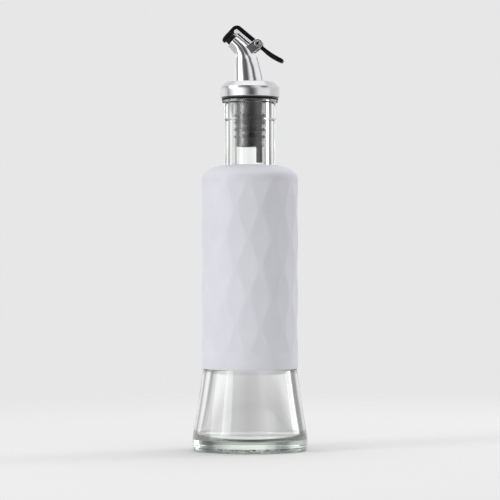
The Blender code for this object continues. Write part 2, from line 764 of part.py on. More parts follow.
def collar():
    inner_radius = COLLAR_RADIUS - COLLAR_SHEET
    inner_top_radius = COLLAR_TOP_RADIUS - COLLAR_SHEET / 2
    profile = [
        (0, COLLAR_TOP + COLLAR_CROWN - COLLAR_SHEET),
        (inner_top_radius, COLLAR_TOP - COLLAR_SHEET),
        (inner_radius, COLLAR_SHOULDER),
        (inner_radius, COLLAR_BOTTOM),
        (COLLAR_RADIUS, COLLAR_BOTTOM),
        (COLLAR_RADIUS, COLLAR_SHOULDER),
    ]
    profile += arc(
        COLLAR_TOP_RADIUS,
        COLLAR_SHOULDER,
        COLLAR_CHAMFER_WIDTH,
        COLLAR_CHAMFER_HEIGHT,
        COLLAR_CHAMFER_START,
        COLLAR_CHAMFER_END,
        COLLAR_CHAMFER_STEPS,
    )
    profile += [(COLLAR_TOP_RADIUS, COLLAR_TOP), (0, COLLAR_TOP + COLLAR_CROWN)]
    made = turned("collar", list(reversed(profile)), POURER_STEPS, SATIN_STEEL)
    low = Vector((SPOUT_FOOT_X, 0, SPOUT_FLANGE_TOP + SEAT_GAP))
    high = Vector((SPOUT_FOOT_X, 0, SPOUT_FOOT + SPOUT_FOOT_RISE))
    cut(
        made,
        cylinder("spout_hole", SPOUT_FOOT_RADIUS + SEAT_GAP, low, high, POURER_STEPS),
        vent_cutter("vent_notch", SEAT_GAP),
    )
    return made


def spout():
    made = cylinder(
        "spout",
        FLANGE_RADIUS,
        (0, 0, SPOUT_FLANGE_BOTTOM),
        (0, 0, SPOUT_FLANGE_TOP),
        POURER_STEPS,
        POLISHED_CHROME,
    )
    spigot_top = Vector((OIL_CHANNEL_X, 0, SPOUT_FLANGE_TOP - THIN_GAP))
    spigot_end = Vector((OIL_CHANNEL_X, 0, SPOUT_FLANGE_BOTTOM - SPIGOT_LENGTH))
    join(
        made,
        spout_body("spout_tube", 0),
        cylinder("spigot", SPIGOT_RADIUS, spigot_end, spigot_top),
    )
    cut(made, spout_bore(), vent_cutter("vent_groove", THIN_GAP))
    return smooth(made)


BRACKET_OUT = backwards(BRACKET_TILT)
BRACKET_UP = heading(BRACKET_TILT)


def at_bracket(along, out):
    """A point in the bracket's frame: from the pivot up along the spout's back, and away from the spout."""
    return PIVOT + BRACKET_UP * along + BRACKET_OUT * out


def floor_height():
    """Place of the bracket floor's underside, just clear of the spout's back, measured out from the pivot."""
    spout_back = [back_of_spout(stop, 0) for stop in ROUTE[2:-1]]
    under_floor = [
        (place - PIVOT).dot(BRACKET_OUT)
        for place in spout_back
        if -EAR_RADIUS <= (place - PIVOT).dot(BRACKET_UP) <= EAR_RADIUS
    ]
    return max(under_floor) + SEAT_GAP


FLOOR = floor_height()


def pivot_bracket():
    ear = [at_bracket(-EAR_RADIUS, -EAR_LENGTH), at_bracket(EAR_RADIUS, -EAR_LENGTH)]
    ear += round_end(PIVOT, BRACKET_UP, BRACKET_OUT, EAR_RADIUS)
    middle = EAR_SPACING / 2 + EAR_SHEET / 2
    made = plate("pivot_bracket", ear, EAR_SHEET / 2, middle, finish=BRACKET_STEEL)
    base = [
        at_bracket(BRACKET_FLOOR_FRONT, FLOOR),
        at_bracket(-BRACKET_FLOOR_BACK, FLOOR),
        at_bracket(-BRACKET_FLOOR_BACK, FLOOR + EAR_SHEET),
        at_bracket(BRACKET_FLOOR_FRONT, FLOOR + EAR_SHEET),
    ]
    join(
        made,
        plate("far_ear", ear, EAR_SHEET / 2, -middle),
        plate("bracket_floor", base, middle),
    )
    hole_end = SIDEWAYS * (EAR_OUTER + CUT_PAST)
    cut(
        made,
        spout_body("bracket_seat", SEAT_GAP),
        cylinder("ear_holes", PIN_RADIUS + THIN_GAP, PIVOT - hole_end, PIVOT + hole_end),
    )
    return made


def pivot_pin():
    """Semi-tubular rivet, turned about Z and laid along Y, with its bore in the near head."""
    inner = EAR_OUTER + THIN_GAP
    outer = inner + PIN_HEAD_THICKNESS
    head = [
        (PIN_HEAD_RADIUS - PIN_HEAD_ROUND, outer),
        (PIN_HEAD_RADIUS, outer - PIN_HEAD_ROUND),
        (PIN_HEAD_RADIUS, inner),
        (PIN_RADIUS, inner),
    ]
    far_head = [(r, -z) for r, z in reversed(head)]
    bore_end = outer - PIN_BORE_DEPTH
    bore = [(0, bore_end), (PIN_BORE_RADIUS, bore_end), (PIN_BORE_RADIUS, outer)]
    made = turned("pivot_pin", bore + head + far_head + [(0, -outer)], SMALL_STEPS, BRACKET_STEEL)
    made.location = PIVOT
    made.rotation_euler.x = pi / 2
    return made


def on_coil(angle, across):
    """A point of the coil, by its angle from +X towards +Z about the pivot."""
    return PIVOT + Vector((cos(angle), 0, sin(angle))) * COIL_RADIUS + SIDEWAYS * across


def return_spring():
    """Torsion coil on the pin. One leg stands on the bracket's floor, the other lifts the lever's tail."""
    first = BRACKET_TILT - pi / 2
    last = -TAIL_TILT - pi / 2 + 2 * pi * (SPRING_FULL_TURNS + 1)
    steps = round((last - first) / (2 * pi) * SPRING_POINTS_PER_TURN)
    width = SPRING_PITCH * (last - first) / (2 * pi)
    coil = []
    for step in range(steps + 1):
        share = step / steps
        coil.append(on_coil(first + (last - first) * share, width * share - width / 2))
    foot_reach = -FLOOR - EAR_SHEET - THIN_GAP
    foot = coil[0] - BRACKET_OUT * foot_reach
    lifter = coil[-1] + downhill(TAIL_TILT) * SPRING_LEG
    points = [foot] + coil + [lifter]
    return smooth(tube("return_spring", points, [SPRING_WIRE_RADIUS] * len(points), 1, SPRING_STEEL))


ROLL = at_mouth(ROLL_FROM_MOUTH_AXIS, ROLL_ABOVE_MOUTH)
ARM_BACK = downhill(ARM_TILT)
ARM_UP = uphill_normal(ARM_TILT)


def arm_strip():
    """Strip along the arm's underside. Its end is rolled down, and its top runs just under the roll's top."""
    back = ARM_BACK * ((PIVOT - ROLL).dot(ARM_BACK) - STRIP_BACK)
    top = ROLL + ARM_UP * (ROLL_RADIUS - THIN_GAP)
    bottom = top - ARM_UP * STRIP_THICKNESS
    made = plate(
        "arm_strip", [bottom, bottom + back, top + back, top], STRIP_WIDTH / 2, finish=POLISHED_CHROME
    )
    side = SIDEWAYS * STRIP_WIDTH / 2
    join(made, cylinder("rolled_end", ROLL_RADIUS, ROLL - side, ROLL + side))
    return smooth(made)


def mouth_seal():
    """Turned about Z and laid on the mouth's axis."""
    top = CAP_BOTTOM - THIN_GAP
    profile = [
        (0, top + SEAL_STUB_LENGTH),
        (SEAL_STUB_RADIUS, top + SEAL_STUB_LENGTH),
        (SEAL_STUB_RADIUS, top),
        (SEAL_TOP_RADIUS, top),
        (SEAL_TIP_RADIUS, SEAT_GAP),
        (0, SEAT_GAP),
    ]
    made = turned("mouth_seal", profile, SMALL_STEPS, BLACK_RUBBER)
    made.location = MOUTH
    made.rotation_euler.y = -MOUTH_TILT
    return made


def cap_disc():
    """The low-crowned disc of the cap, on the mouth's axis."""
    profile = [(0, CAP_TOP + CAP_CROWN)]
    profile += arc(
        CAP_RADIUS - CAP_TOP_EDGE, CAP_TOP - CAP_TOP_EDGE, CAP_TOP_EDGE, CAP_TOP_EDGE, pi / 2, 0
    )
    profile += [
        (CAP_RADIUS, CAP_BOTTOM + CAP_LOW_EDGE),
        (CAP_RADIUS - CAP_LOW_EDGE, CAP_BOTTOM),
        (0, CAP_BOTTOM),
    ]
    made = turned("cap_disc", profile, POURER_STEPS)
    made.location = MOUTH
    made.rotation_euler.y = -MOUTH_TILT
    return made


def tail_top(share):
    """A point on the tail's sagging top, by its share of the tail's length, and the slope there."""
    height = TAIL_TOP_FROM_PIVOT - bow(TAIL_SAG, share)
    point = PIVOT + uphill_normal(TAIL_TILT) * height + downhill(TAIL_TILT) * TAIL_LENGTH * share
    return point, TAIL_TILT + atan(bow_slope(TAIL_SAG, share) / TAIL_LENGTH)


def tail_bottom(share):
    top, slope = tail_top(share)
    taper = TAIL_ROOT_THICKNESS + (TAIL_TIP_THICKNESS - TAIL_ROOT_THICKNESS) * share
    return top - uphill_normal(slope) * (taper + bow(TAIL_BELLY, share))


def lever_side():
    """Side outline of the arm and tail, cap end first. It ends round the roll and its guard."""
    out = heading(MOUTH_TILT)
    arm_top = PIVOT + ARM_UP * ARM_TOP_FROM_PIVOT
    knee_reach = ((arm_top - MOUTH).dot(out) - CAP_TOP) / ARM_BACK.dot(out)
    shares = [step / TAIL_STEPS for step in range(1, TAIL_STEPS)]
    under_hub = PIVOT + ARM_UP * ((ROLL - PIVOT).dot(ARM_UP) + ROLL_RADIUS)
    seat_start = -acos(ROLL_RADIUS / ROLL_SEAT_RADIUS)
    guard_inside = SEAL_TOP_RADIUS + SEAT_GAP
    guard_outside = ROLL_FROM_MOUTH_AXIS - ROLL_SEAT_RADIUS
    corners = [
        (at_mouth(SEAL_STUB_RADIUS, CAP_BOTTOM), 0),
        (at_mouth(SEAL_STUB_RADIUS, CAP_TOP), 0),
        (arm_top - ARM_BACK * knee_reach, KNEE_RADIUS),
        (arm_top, 0),
    ]
    corners += [(tail_top(share)[0], 0) for share in shares]
    corners += [(tail_top(1)[0], TAIL_EDGE_RADIUS), (tail_bottom(1), TAIL_EDGE_RADIUS)]
    corners += [(tail_bottom(share), 0) for share in reversed(shares)]
    corners += [(tail_bottom(0), 0), (under_hub, 0)]
    corners += [
        (place, 0) for place in round_end(ROLL, ARM_UP, -ARM_BACK, ROLL_SEAT_RADIUS, seat_start)
    ]
    corners += [
        (at_mouth(guard_outside, ROLL_GUARD_ABOVE_MOUTH), 0),
        (at_mouth(guard_inside, ROLL_GUARD_ABOVE_MOUTH), 0),
        (at_mouth(guard_inside, CAP_BOTTOM), 0),
    ]
    return rounded(corners)


def lever_plan():
    """Outline from above: an even arm that widens to the thumb pad."""
    front = MOUTH.x - CAP_RADIUS - CAP_THICKNESS
    pad_start = PIVOT.x + THUMB_PAD_START
    pad_full = pad_start + THUMB_PAD_SPREAD
    tip = tail_top(1)[0].x
    half_pad = THUMB_PAD_WIDTH / 2
    near = [
        (Vector((front, -ARM_HALF_WIDTH, 0)), 0),
        (Vector((pad_start, -ARM_HALF_WIDTH, 0)), 0),
        (Vector((pad_full, -half_pad, 0)), 0),
        (Vector((tip, -half_pad, 0)), THUMB_PAD_CORNER),
    ]
    far = [(Vector((place.x, -place.y, 0)), radius) for place, radius in reversed(near)]
    return rounded(near + far)


def lever():
    made = plate("lever", lever_side(), THUMB_PAD_WIDTH, finish=BLACK_PLASTIC)
    plan = plate("lever_plan", lever_plan(), LEVER_PLAN_HALF_HEIGHT, PIVOT.z, upright=False)
    boolean(made, "INTERSECT", plan)
    hub_end = SIDEWAYS * HUB_HALF_WIDTH
    join(
        made,
        cap_disc(),
        cylinder("hub", HUB_RADIUS, PIVOT - hub_end, PIVOT + hub_end, POURER_STEPS),
    )
    slot_radius = HUB_RADIUS - HUB_WALL_OVER_SPRING
    turns = SPRING_FULL_TURNS + 1
    slot_half = SPRING_PITCH * turns / 2 + SPRING_WIRE_RADIUS + SEAT_GAP
    opening_half = slot_half - THIN_GAP
    groove_half = opening_half - THIN_GAP
    slot_end = SIDEWAYS * slot_half
    below = [
        at_bracket(slot_radius, 0),
        at_bracket(-slot_radius, 0),
        at_bracket(-slot_radius, -SPRING_SLOT_DEPTH),
        at_bracket(slot_radius, -SPRING_SLOT_DEPTH),
    ]
    tail_up = uphill_normal(TAIL_TILT)
    groove_top = PIVOT - tail_up * (COIL_RADIUS - SPRING_WIRE_RADIUS - THIN_GAP)
    groove_end = groove_top + downhill(TAIL_TILT) * (SPRING_LEG + SEAT_GAP)
    groove = [
        groove_top,
        groove_end,
        groove_end - tail_up * SPRING_SLOT_DEPTH,
        groove_top - tail_up * SPRING_SLOT_DEPTH,
    ]
    pin_end = SIDEWAYS * (HUB_HALF_WIDTH + CUT_PAST)
    cut(
        made,
        cylinder("pivot_hole", PIVOT_HOLE_RADIUS, PIVOT - pin_end, PIVOT + pin_end),
        cylinder("spring_slot", slot_radius, PIVOT - slot_end, PIVOT + slot_end, POURER_STEPS),
        plate("slot_opening", below, opening_half),
        plate("leg_groove", groove, groove_half),
        cylinder(
            "seal_socket",
            SEAL_STUB_RADIUS + THIN_GAP,
            at_mouth(0, 0),
            at_mouth(0, CAP_BOTTOM + SEAL_STUB_LENGTH + THIN_GAP),
        ),
    )
    return smooth(made)


def carry(name, place, pieces):
    """Parent moving pieces to an empty on their joint's axis."""
    axis = bpy.data.objects.new(name, None)
    PARTS.objects.link(axis)
    axis.location = place
    bpy.context.view_layer.update()
    for piece in pieces:
        piece.parent = axis
        piece.matrix_parent_inverse = axis.matrix_world.inverted()


def build():
    glass_bottle()
    grip_sleeve()
    gasket = rim_gasket()
    pourer = [
        stopper(),
        breather_tube(),
        vent_tube(),
        collar(),
        spout(),
        pivot_bracket(),
        pivot_pin(),
        return_spring(),
    ]
    carry("pourer_axis", (0, 0, RIM), [gasket] + pourer)
    carry("lever_axis", PIVOT, [lever(), arm_strip(), mouth_seal()])


build()
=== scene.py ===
"""Oil cruet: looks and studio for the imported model. Metres, +Z up, the spout's mouth points towards -X."""

from math import acos, asin, atan, cos, pi, radians, sin

import bmesh
import bpy
from mathutils import Matrix, Vector


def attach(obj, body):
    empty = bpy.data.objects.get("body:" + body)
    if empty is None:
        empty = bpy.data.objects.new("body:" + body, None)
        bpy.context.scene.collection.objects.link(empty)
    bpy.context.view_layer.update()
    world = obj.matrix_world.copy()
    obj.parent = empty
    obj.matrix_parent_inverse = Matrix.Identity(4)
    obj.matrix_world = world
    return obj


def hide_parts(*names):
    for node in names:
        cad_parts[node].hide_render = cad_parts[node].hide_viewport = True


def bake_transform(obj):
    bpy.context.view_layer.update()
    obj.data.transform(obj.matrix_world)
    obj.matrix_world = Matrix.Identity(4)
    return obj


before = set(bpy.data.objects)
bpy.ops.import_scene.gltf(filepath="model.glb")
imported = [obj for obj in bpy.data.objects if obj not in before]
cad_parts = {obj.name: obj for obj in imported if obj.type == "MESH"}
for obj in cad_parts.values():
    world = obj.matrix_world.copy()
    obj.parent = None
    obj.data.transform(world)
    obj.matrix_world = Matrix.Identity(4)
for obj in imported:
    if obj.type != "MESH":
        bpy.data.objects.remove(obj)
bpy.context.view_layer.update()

# Gaps between pieces that touch on the real object
SEAT_GAP = 0.0003
THIN_GAP = 0.0001
PIVOT_CLEARANCE = 0.00008

# Fineness of the meshes
BOTTLE_STEPS = 192
SLEEVE_CELLS = 12
POURER_STEPS = 128
SMALL_STEPS = 64
FLOOR_STEPS = 96
SHOULDER_STEPS = 20
ARC_STEPS = 16
COARSE_FILLET = 4
FILLET_STEPS = 5
MEDIUM_FILLET = 6
FINE_FILLET = 8
SMOOTH_FILLET = 12
WELD_DISTANCE = 0.000001
CUT_WELD = 0.000003
SHADING_ANGLE = radians(30)
BEVEL_ANGLE = radians(50)

# Rounds of small edges
TINY_ROUND = 0.0001
FINE_ROUND = 0.0002
SMALL_ROUND = 0.0003

# Grip sleeve and its diamonds
SLEEVE_RADIUS = 0.0299
SLEEVE_WALL = 0.0014
SHOULDER_RISE = 0.009
SLEEVE_TOP_DROP = 0.0008
SHOULDER_CENTRE_RADIUS = 0.012
SLEEVE_EDGE_ROUND = 0.0003
DIAMONDS_ROUND = 12
DIAMOND_HALF_ROWS = 6
DIAMOND_DEPTH = 0.00055
DIAMOND_BOTTOM_MARGIN = 0.0089
DIAMOND_TOP_MARGIN = 0.0013
DIAMOND_TURN = radians(3.7)
SLEEVE_SHADING_ANGLE = radians(40)

# Glass bottle
FOOT_RADIUS = 0.0358
FOOT_BAND_TOP = 0.0084
FOOT_BAND_ROUND = 0.004
HEEL_RADIUS = 0.003
CONTACT_RING_WIDTH = 0.0026
CONTACT_RING_ROUND = 0.0008
PUNT_HEIGHT = 0.0026
PUNT_SLOPE_WIDTH = 0.005
PUNT_ROUND = 0.004
LEDGE_HEIGHT = 0.0505
LEDGE_RADIUS = 0.0294
LEDGE_ROOT_ROUND = 0.0004
LEDGE_EDGE_ROUND = 0.0005
LEDGE_MARGIN = 0.004
FLARE_MARGIN = 0.003
FLARE_HOLLOW = 0.0003
BODY_HEIGHT = 0.1188
BODY_RADIUS = 0.0282
NECK_RADIUS = 0.01555
NECK_ROOT_RADIUS = 0.0159
NECK_ROOT_HEIGHT = 0.010
NECK_ROOT_ROUND = 0.0008
NECK_FLARE_ROUND = 0.008
NECK_TOP_ROUND = 0.0004
NECK_LENGTH = 0.0395
FINISH_RADIUS = 0.0162
FINISH_HEIGHT = 0.0119
FINISH_SLOPE = 0.00065
LIP_RADIUS = 0.0175
LIP_HEIGHT = 0.001
LIP_EDGE = 0.0005
BORE_RADIUS = 0.0104
BASE_THICKNESS = 0.0068
FLARE_WALL = 0.004
BODY_WALL = 0.0036
INNER_CORNER_RADIUS = 0.0036
INNER_SHOULDER_RISE = 0.005
INNER_SHOULDER_TURN = radians(75)
INNER_NECK_RISE = 0.0004
INNER_NECK_ROUND = 0.0016

# Gasket, stopper and breather tube
GASKET_THICKNESS = 0.00065
GASKET_OVERHANG = 0.0002
STOPPER_FLANGE_THICKNESS = 0.00285
STOPPER_DEPTH = 0.0293
STOPPER_RADIUS = 0.0086
STOPPER_TIP_CHAMFER = 0.0008
FIN_COUNT = 4
FIN_PITCH = 0.00437
FIN_THICKNESS = 0.0018
FIN_RADIUS = 0.0102
FIN_EDGE_ROUND = 0.00025
TOP_FIN_DEPTH = 0.0098
OIL_CHANNEL_RADIUS = 0.0038
OIL_CHANNEL_X = -0.0022
SPIGOT_RADIUS = 0.0049
SPIGOT_LENGTH = 0.0075
BREATHER_X = 0.0058
BREATHER_RADIUS = 0.00195
BREATHER_WALL = 0.0007
BREATHER_DEPTH = 0.039

# Collar
COLLAR_RADIUS = 0.01855
COLLAR_SHEET = 0.0008
COLLAR_BAND_HEIGHT = 0.0058
COLLAR_CHAMFER_WIDTH = 0.0032
COLLAR_CHAMFER_HEIGHT = 0.0037
COLLAR_CHAMFER_RISE = 0.0005
COLLAR_CROWN = 0.0009
COLLAR_EDGE_ROUND = 0.00035
COLLAR_SHOULDER_ROUND = 0.0004
COLLAR_TOP_ROUND = 0.001
COLLAR_INNER_ROUND = 0.0008

# Spout and vent tube
SPOUT_FLANGE_THICKNESS = 0.0027
SPOUT_FOOT_X = -0.00109
SPOUT_FOOT_RISE = 0.0005
SPOUT_FOOT_RADIUS = 0.00852
SPOUT_FOOT_WALL = 0.0031
SPOUT_LEAN = radians(6.5)
SPOUT_LEG = 0.0122
SPOUT_LEG_STEPS = 24
SPOUT_WAIST_RADIUS = 0.0069
SPOUT_WAIST_WALL = 0.0026
SPOUT_BEND_RADIUS = 0.0145
SPOUT_BEND_STEPS = 48
SPOUT_NOSE_RADIUS = 0.00495
SPOUT_NOSE_WALL = 0.0014
SPOUT_NOSE = 0.00485
SPOUT_NOSE_STEPS = 16
SPOUT_SHADING_ANGLE = radians(25)
MOUTH_TILT = radians(47)
MOUTH_RADIUS = 0.00458
MOUTH_WALL = 0.0012
MOUTH_LIP_ROUND = 0.0004
VENT_RADIUS = 0.0012
VENT_WALL = 0.0005
VENT_SINK = 0.00035
VENT_ABOVE_WAIST = 0.0014
VENT_BEND_UNDER_FLANGE = 0.0009
VENT_MOUTH_CLEARANCE = 0.0015
VENT_STRIDE = 6
CUT_PAST = 0.003

# Bracket, pin and spring
PIVOT_X = 0.0052
PIVOT_ABOVE_RIM = 0.03485
BRACKET_TILT = radians(37)
EAR_RADIUS = 0.003
EAR_SHEET = 0.0008
EAR_SPACING = 0.0072
EAR_LENGTH = 0.0085
EAR_EDGE_ROUND = 0.00038
BRACKET_FLOOR_FRONT = 0.0022
BRACKET_FLOOR_BACK = 0.0026
PIN_RADIUS = 0.0012
PIN_BORE_RADIUS = 0.0009
PIN_BORE_DEPTH = 0.003
PIN_HEAD_RADIUS = 0.002
PIN_HEAD_THICKNESS = 0.0007
PIN_HEAD_ROUND = 0.00035
SPRING_WIRE_RADIUS = 0.00025
SPRING_PITCH = 0.00075
SPRING_FULL_TURNS = 2
SPRING_POINTS_PER_TURN = 36
SPRING_RESOLUTION = 4
SPRING_LEG = 0.0042

# Lever, strip and seal
HUB_RADIUS = 0.0028
HUB_WALL_OVER_SPRING = 0.0006
HUB_PROUD = 0.0001
SPRING_SLOT_DEPTH = 0.0056
ARM_TILT = radians(40.3)
ARM_TOP_FROM_PIVOT = 0.00127
KNEE_RADIUS = 0.00392
TAIL_TILT = radians(34.9)
TAIL_LENGTH = 0.0189
TAIL_TOP_FROM_PIVOT = 0.0011
TAIL_SAG = 0.0008
TAIL_ROOT_THICKNESS = 0.0016
TAIL_TIP_THICKNESS = 0.0024
TAIL_BELLY = 0.0008
TAIL_STEPS = 14
TAIL_EDGE_RADIUS = 0.0011
THUMB_PAD_WIDTH = 0.0086
THUMB_PAD_START = 0.0045
THUMB_PAD_SPREAD = 0.007
THUMB_PAD_BLEND = 0.006
THUMB_PAD_CORNER = 0.0035
LEVER_PLAN_HALF_HEIGHT = 0.03
LEVER_EDGE_ROUND = 0.0004
LEVER_SHADING_ANGLE = radians(35)
CAP_RADIUS = 0.0046
CAP_THICKNESS = 0.00265
CAP_CROWN = 0.0003
CAP_TOP_EDGE = 0.0016
CAP_LOW_EDGE = 0.0008
ROLL_GUARD_ABOVE_MOUTH = 0.0004
SEAL_HEIGHT = 0.0026
SEAL_TOP_RADIUS = 0.0033
SEAL_TIP_RADIUS = 0.00342
SEAL_STUB_RADIUS = 0.0014
SEAL_STUB_LENGTH = 0.0012
STRIP_THICKNESS = 0.0014
STRIP_WIDTH = 0.006
STRIP_BACK = 0.0034
STRIP_EDGE_ROUND = 0.0006
# Dark sheet under the strip that gives the painted shade line in the gap
SHADE_SHEET_THICKNESS = 0.0008
SHADE_SHEET_START = 0.0016
SHADE_SHEET_HALF_WIDTH = 0.0029
ROLL_RADIUS = 0.00145
ROLL_EDGE_ROUND = 0.0004
ROLL_SEAT_GAP = 0.00015
ROLL_PAST_MOUTH = 0.0011
ROLL_ABOVE_MOUTH = 0.0021

# Studio
CAMERA_AZIMUTH = radians(6)
CAMERA_DISTANCE = 1.47
CAMERA_HEIGHT = 0.1029
CAMERA_LENS = 170.1
CAMERA_SENSOR = 36.0
CAMERA_SHIFT_Y = 0.07
FLOOR_RADIUS = 3.0
FLOOR_FADE_START = 0.25
FLOOR_FADE_END = 0.9
BACKGROUND = 0.80
FLOOR_COLOUR = 0.80
SKY_AT_HORIZON = 0.25
SKY_RISE = 0.8
LIGHT_TARGET_HEIGHT = 0.13

# Soft boxes: azimuth and elevation in degrees, distance, width, height and power
SOFT_LIGHTS = {
    "key_light": (-55, 12, 1.4, 0.5, 1.4, 8.5),
    "rim_light": (118, 15, 1.6, 0.6, 1.4, 6.6),
    "top_light": (150, 60, 1.6, 1.0, 1.0, 4),
}

# The studio as polished pieces mirror it, and as rays that leave the glass meet it: brightness by azimuth in
# degrees, 0 at the camera and positive to its right. The low belt is near the horizon. The high belt has a
# thin dark frame on the right, and the upper belt lies between it and the light from overhead.
LOW_BELT = [
    (-180, 0.95), (-120, 1.15), (-103, 0.95), (-92, 0.5), (-84, 0.75), (-76, 1.2), (-66, 1.5),
    (-58, 1.9), (-34, 1.9), (-28, 1.5), (-20, 1.1), (-14, 0.65), (-8, 0.38), (2, 0.12), (12, 0.14),
    (22, 0.45), (34, 1.05), (48, 1.2), (76, 1.2), (90, 0.88), (180, 0.95),
]
HIGH_BELT = [
    (-180, 0.9), (-140, 0.9), (-120, 0.7), (-104, 0.4), (-94, 0.6), (-91, 1.0), (-87, 3.5), (-58, 3.5),
    (-53, 1.5), (-48, 1.0), (-42, 0.4), (-34, 0.15), (-4, 0.12), (8, 0.5), (20, 0.95), (34, 1.0),
    (43, 0.6), (50, 0.16), (60, 0.12), (69, 0.4), (80, 0.95), (130, 1.0), (180, 0.9),
]
UPPER_BELT = [
    (-180, 0.9), (-60, 1.2), (-38, 1.0), (-20, 0.45), (-10, 0.22), (0, 0.12), (20, 0.12), (30, 0.2),
    (40, 0.6), (50, 0.95), (180, 0.9),
]
THROUGH_GLASS = [
    (-180, 0.95), (-172, 0.95), (-165, 0.7), (-158, 0.3), (-151, 0.3), (-145, 0.8), (-135, 0.95),
    (-123, 0.9), (-116, 0.5), (-109, 0.9), (-92, 0.5), (-76, 1.0), (-72, 1.7), (-32, 1.7), (-20, 0.9),
    (-6, 0.14), (2, 0.04), (12, 0.12), (22, 0.2), (34, 0.38), (76, 0.45), (90, 0.5), (108, 0.9),
    (114, 0.5), (120, 0.66), (131, 0.75), (137, 0.25), (149, 0.2), (156, 0.5), (168, 0.82), (180, 0.95),
]
MIRRORED_OVERHEAD = 1.4
MIRRORED_FLOOR = 0.6
HORIZON = (radians(-9), radians(-4))
FAR_FLOOR_THROUGH_GLASS = 0.56
NEAR_FLOOR_THROUGH_GLASS = 0.74
UNDERNEATH_THROUGH_GLASS = 0.08
HORIZON_THROUGH_GLASS = (radians(-1.5), radians(0.5))
NEAR_FLOOR_EDGE = (radians(-11), radians(-6))
UNDERNEATH_EDGE = (radians(-60), radians(-42))
FRONT_EDGE = (-0.1, 0.2)
HIGH_BELT_EDGE = (radians(5), radians(8))
UPPER_BELT_EDGE = (radians(32), radians(36))
OVERHEAD_EDGE = (radians(50), radians(62))

# The frame leans over to the left as it rises: the first bend, the second, and how far each takes it
FRAME_BENDS = ((radians(23.5), radians(27.5), 19), (radians(27.5), radians(56), 17))
FRAME_LEAN_EDGE = (-35, -10)

# Materials
FACE_STEEL = (0.26, 0.26, 0.28)
# Bright colour painted on the stamped steel's rounded edges as their highlight
EDGE_HIGHLIGHT_STEEL = (0.85, 0.85, 0.87)
# Near-black painted in the rivet's bore as its shade
BORE_SHADE_COLOUR = (0.015, 0.015, 0.016)
# Share of the normal along the pivot's axis over which the painted edge highlight gives way to the face
# colour
EDGE_HIGHLIGHT_TURN = (0.90, 0.97)
BRUSH_STRETCH = (1, 1, 60)
GLASS_IOR = 1.52
GLASS_TINT = (0.62, 0.86, 0.68)
GLASS_DENSITY = 5.5
WAVE_SCALE = 70
WAVE_STRETCH = (1, 1, 0.35)
WAVE_DEPTH = 0.00012
STIPPLE_HEIGHT = 0.0028
STIPPLE_SCALE = 900
STIPPLE_DEPTH = 0.0012
NOISE_RANGE = (0.3, 0.7)

# Values that are even all over a surface
METAL = {"Metallic": 1.0}
BRUSHED = {"Metallic": 1.0, "Anisotropic": 0.5}
SOFT = {"Sheen Weight": 0.1}
SHINY = {"Specular IOR Level": 0.8}
DULL = {"Specular IOR Level": 0.2}
DULLER = {"Specular IOR Level": 0.12}

# Looks: dark and light colour, range of roughness, scale of the clouds, scale and depth of the grain, and
# the even values
LOOKS = {
    "pale_silicone": ((0.70, 0.70, 0.76), (0.74, 0.74, 0.80), (0.46, 0.56), 60, 2600, 1.2e-5, SOFT),
    "black_rubber": ((0.004, 0.004, 0.0045), (0.007, 0.007, 0.0075), (0.36, 0.46), 120, 1800, 4e-6, DULL),
    "stopper_rubber": ((0.005, 0.005, 0.0055), (0.008, 0.008, 0.0085), (0.22, 0.25), 120, 1800, 4e-7, SHINY),
    "satin_steel": ((0.58, 0.58, 0.60), (0.66, 0.66, 0.67), (0.10, 0.15), 90, 60, 1e-6, BRUSHED),
    "polished_chrome": ((0.78, 0.78, 0.80), (0.83, 0.83, 0.85), (0.04, 0.07), 120, 500, 5e-7, METAL),
    "bracket_steel": (FACE_STEEL, FACE_STEEL, (0.14, 0.18), 300, 900, 3e-7, METAL),
    "rivet_steel": (FACE_STEEL, FACE_STEEL, (0.14, 0.18), 300, 900, 3e-7, METAL),
    "strip_steel": ((0.94, 0.94, 0.95), (0.97, 0.97, 0.97), (0.55, 0.62), 200, 900, 5e-7, METAL),
    "spring_steel": ((0.50, 0.50, 0.50), (0.60, 0.60, 0.60), (0.25, 0.35), 500, 2500, 4e-6, METAL),
    "black_plastic": ((0.003, 0.003, 0.0035), (0.005, 0.005, 0.0055), (0.34, 0.42), 150, 2200, 4e-6, DULLER),
    "grey_plastic": ((0.085, 0.085, 0.09), (0.11, 0.11, 0.115), (0.32, 0.44), 200, 2000, 6e-6, {}),
}

# Places and sizes that follow from those above
SHOULDER_HEIGHT = LEDGE_HEIGHT + BODY_HEIGHT
NECK_ROOT = SHOULDER_HEIGHT + SHOULDER_RISE
RIM = NECK_ROOT + NECK_LENGTH
GASKET_BOTTOM = RIM + THIN_GAP
STOPPER_FLANGE_BOTTOM = GASKET_BOTTOM + GASKET_THICKNESS + THIN_GAP
STOPPER_TOP = STOPPER_FLANGE_BOTTOM + STOPPER_FLANGE_THICKNESS
COLLAR_BOTTOM = STOPPER_FLANGE_BOTTOM + GASKET_THICKNESS + THIN_GAP
COLLAR_SHOULDER = COLLAR_BOTTOM + COLLAR_BAND_HEIGHT
COLLAR_TOP_RADIUS = COLLAR_RADIUS - COLLAR_CHAMFER_WIDTH
COLLAR_TOP = COLLAR_SHOULDER + COLLAR_CHAMFER_HEIGHT
FLANGE_RADIUS = COLLAR_RADIUS - COLLAR_SHEET - SEAT_GAP
SPOUT_FLANGE_BOTTOM = STOPPER_TOP + SEAT_GAP
SPOUT_FLANGE_TOP = SPOUT_FLANGE_BOTTOM + SPOUT_FLANGE_THICKNESS
SPOUT_FOOT = COLLAR_TOP + COLLAR_CROWN + SPOUT_FOOT_RISE
PIVOT = Vector((PIVOT_X, 0, RIM + PIVOT_ABOVE_RIM))
EAR_OUTER = EAR_SPACING / 2 + EAR_SHEET
HUB_HALF_WIDTH = EAR_SPACING / 2 - SEAT_GAP
ARM_HALF_WIDTH = HUB_HALF_WIDTH - HUB_PROUD
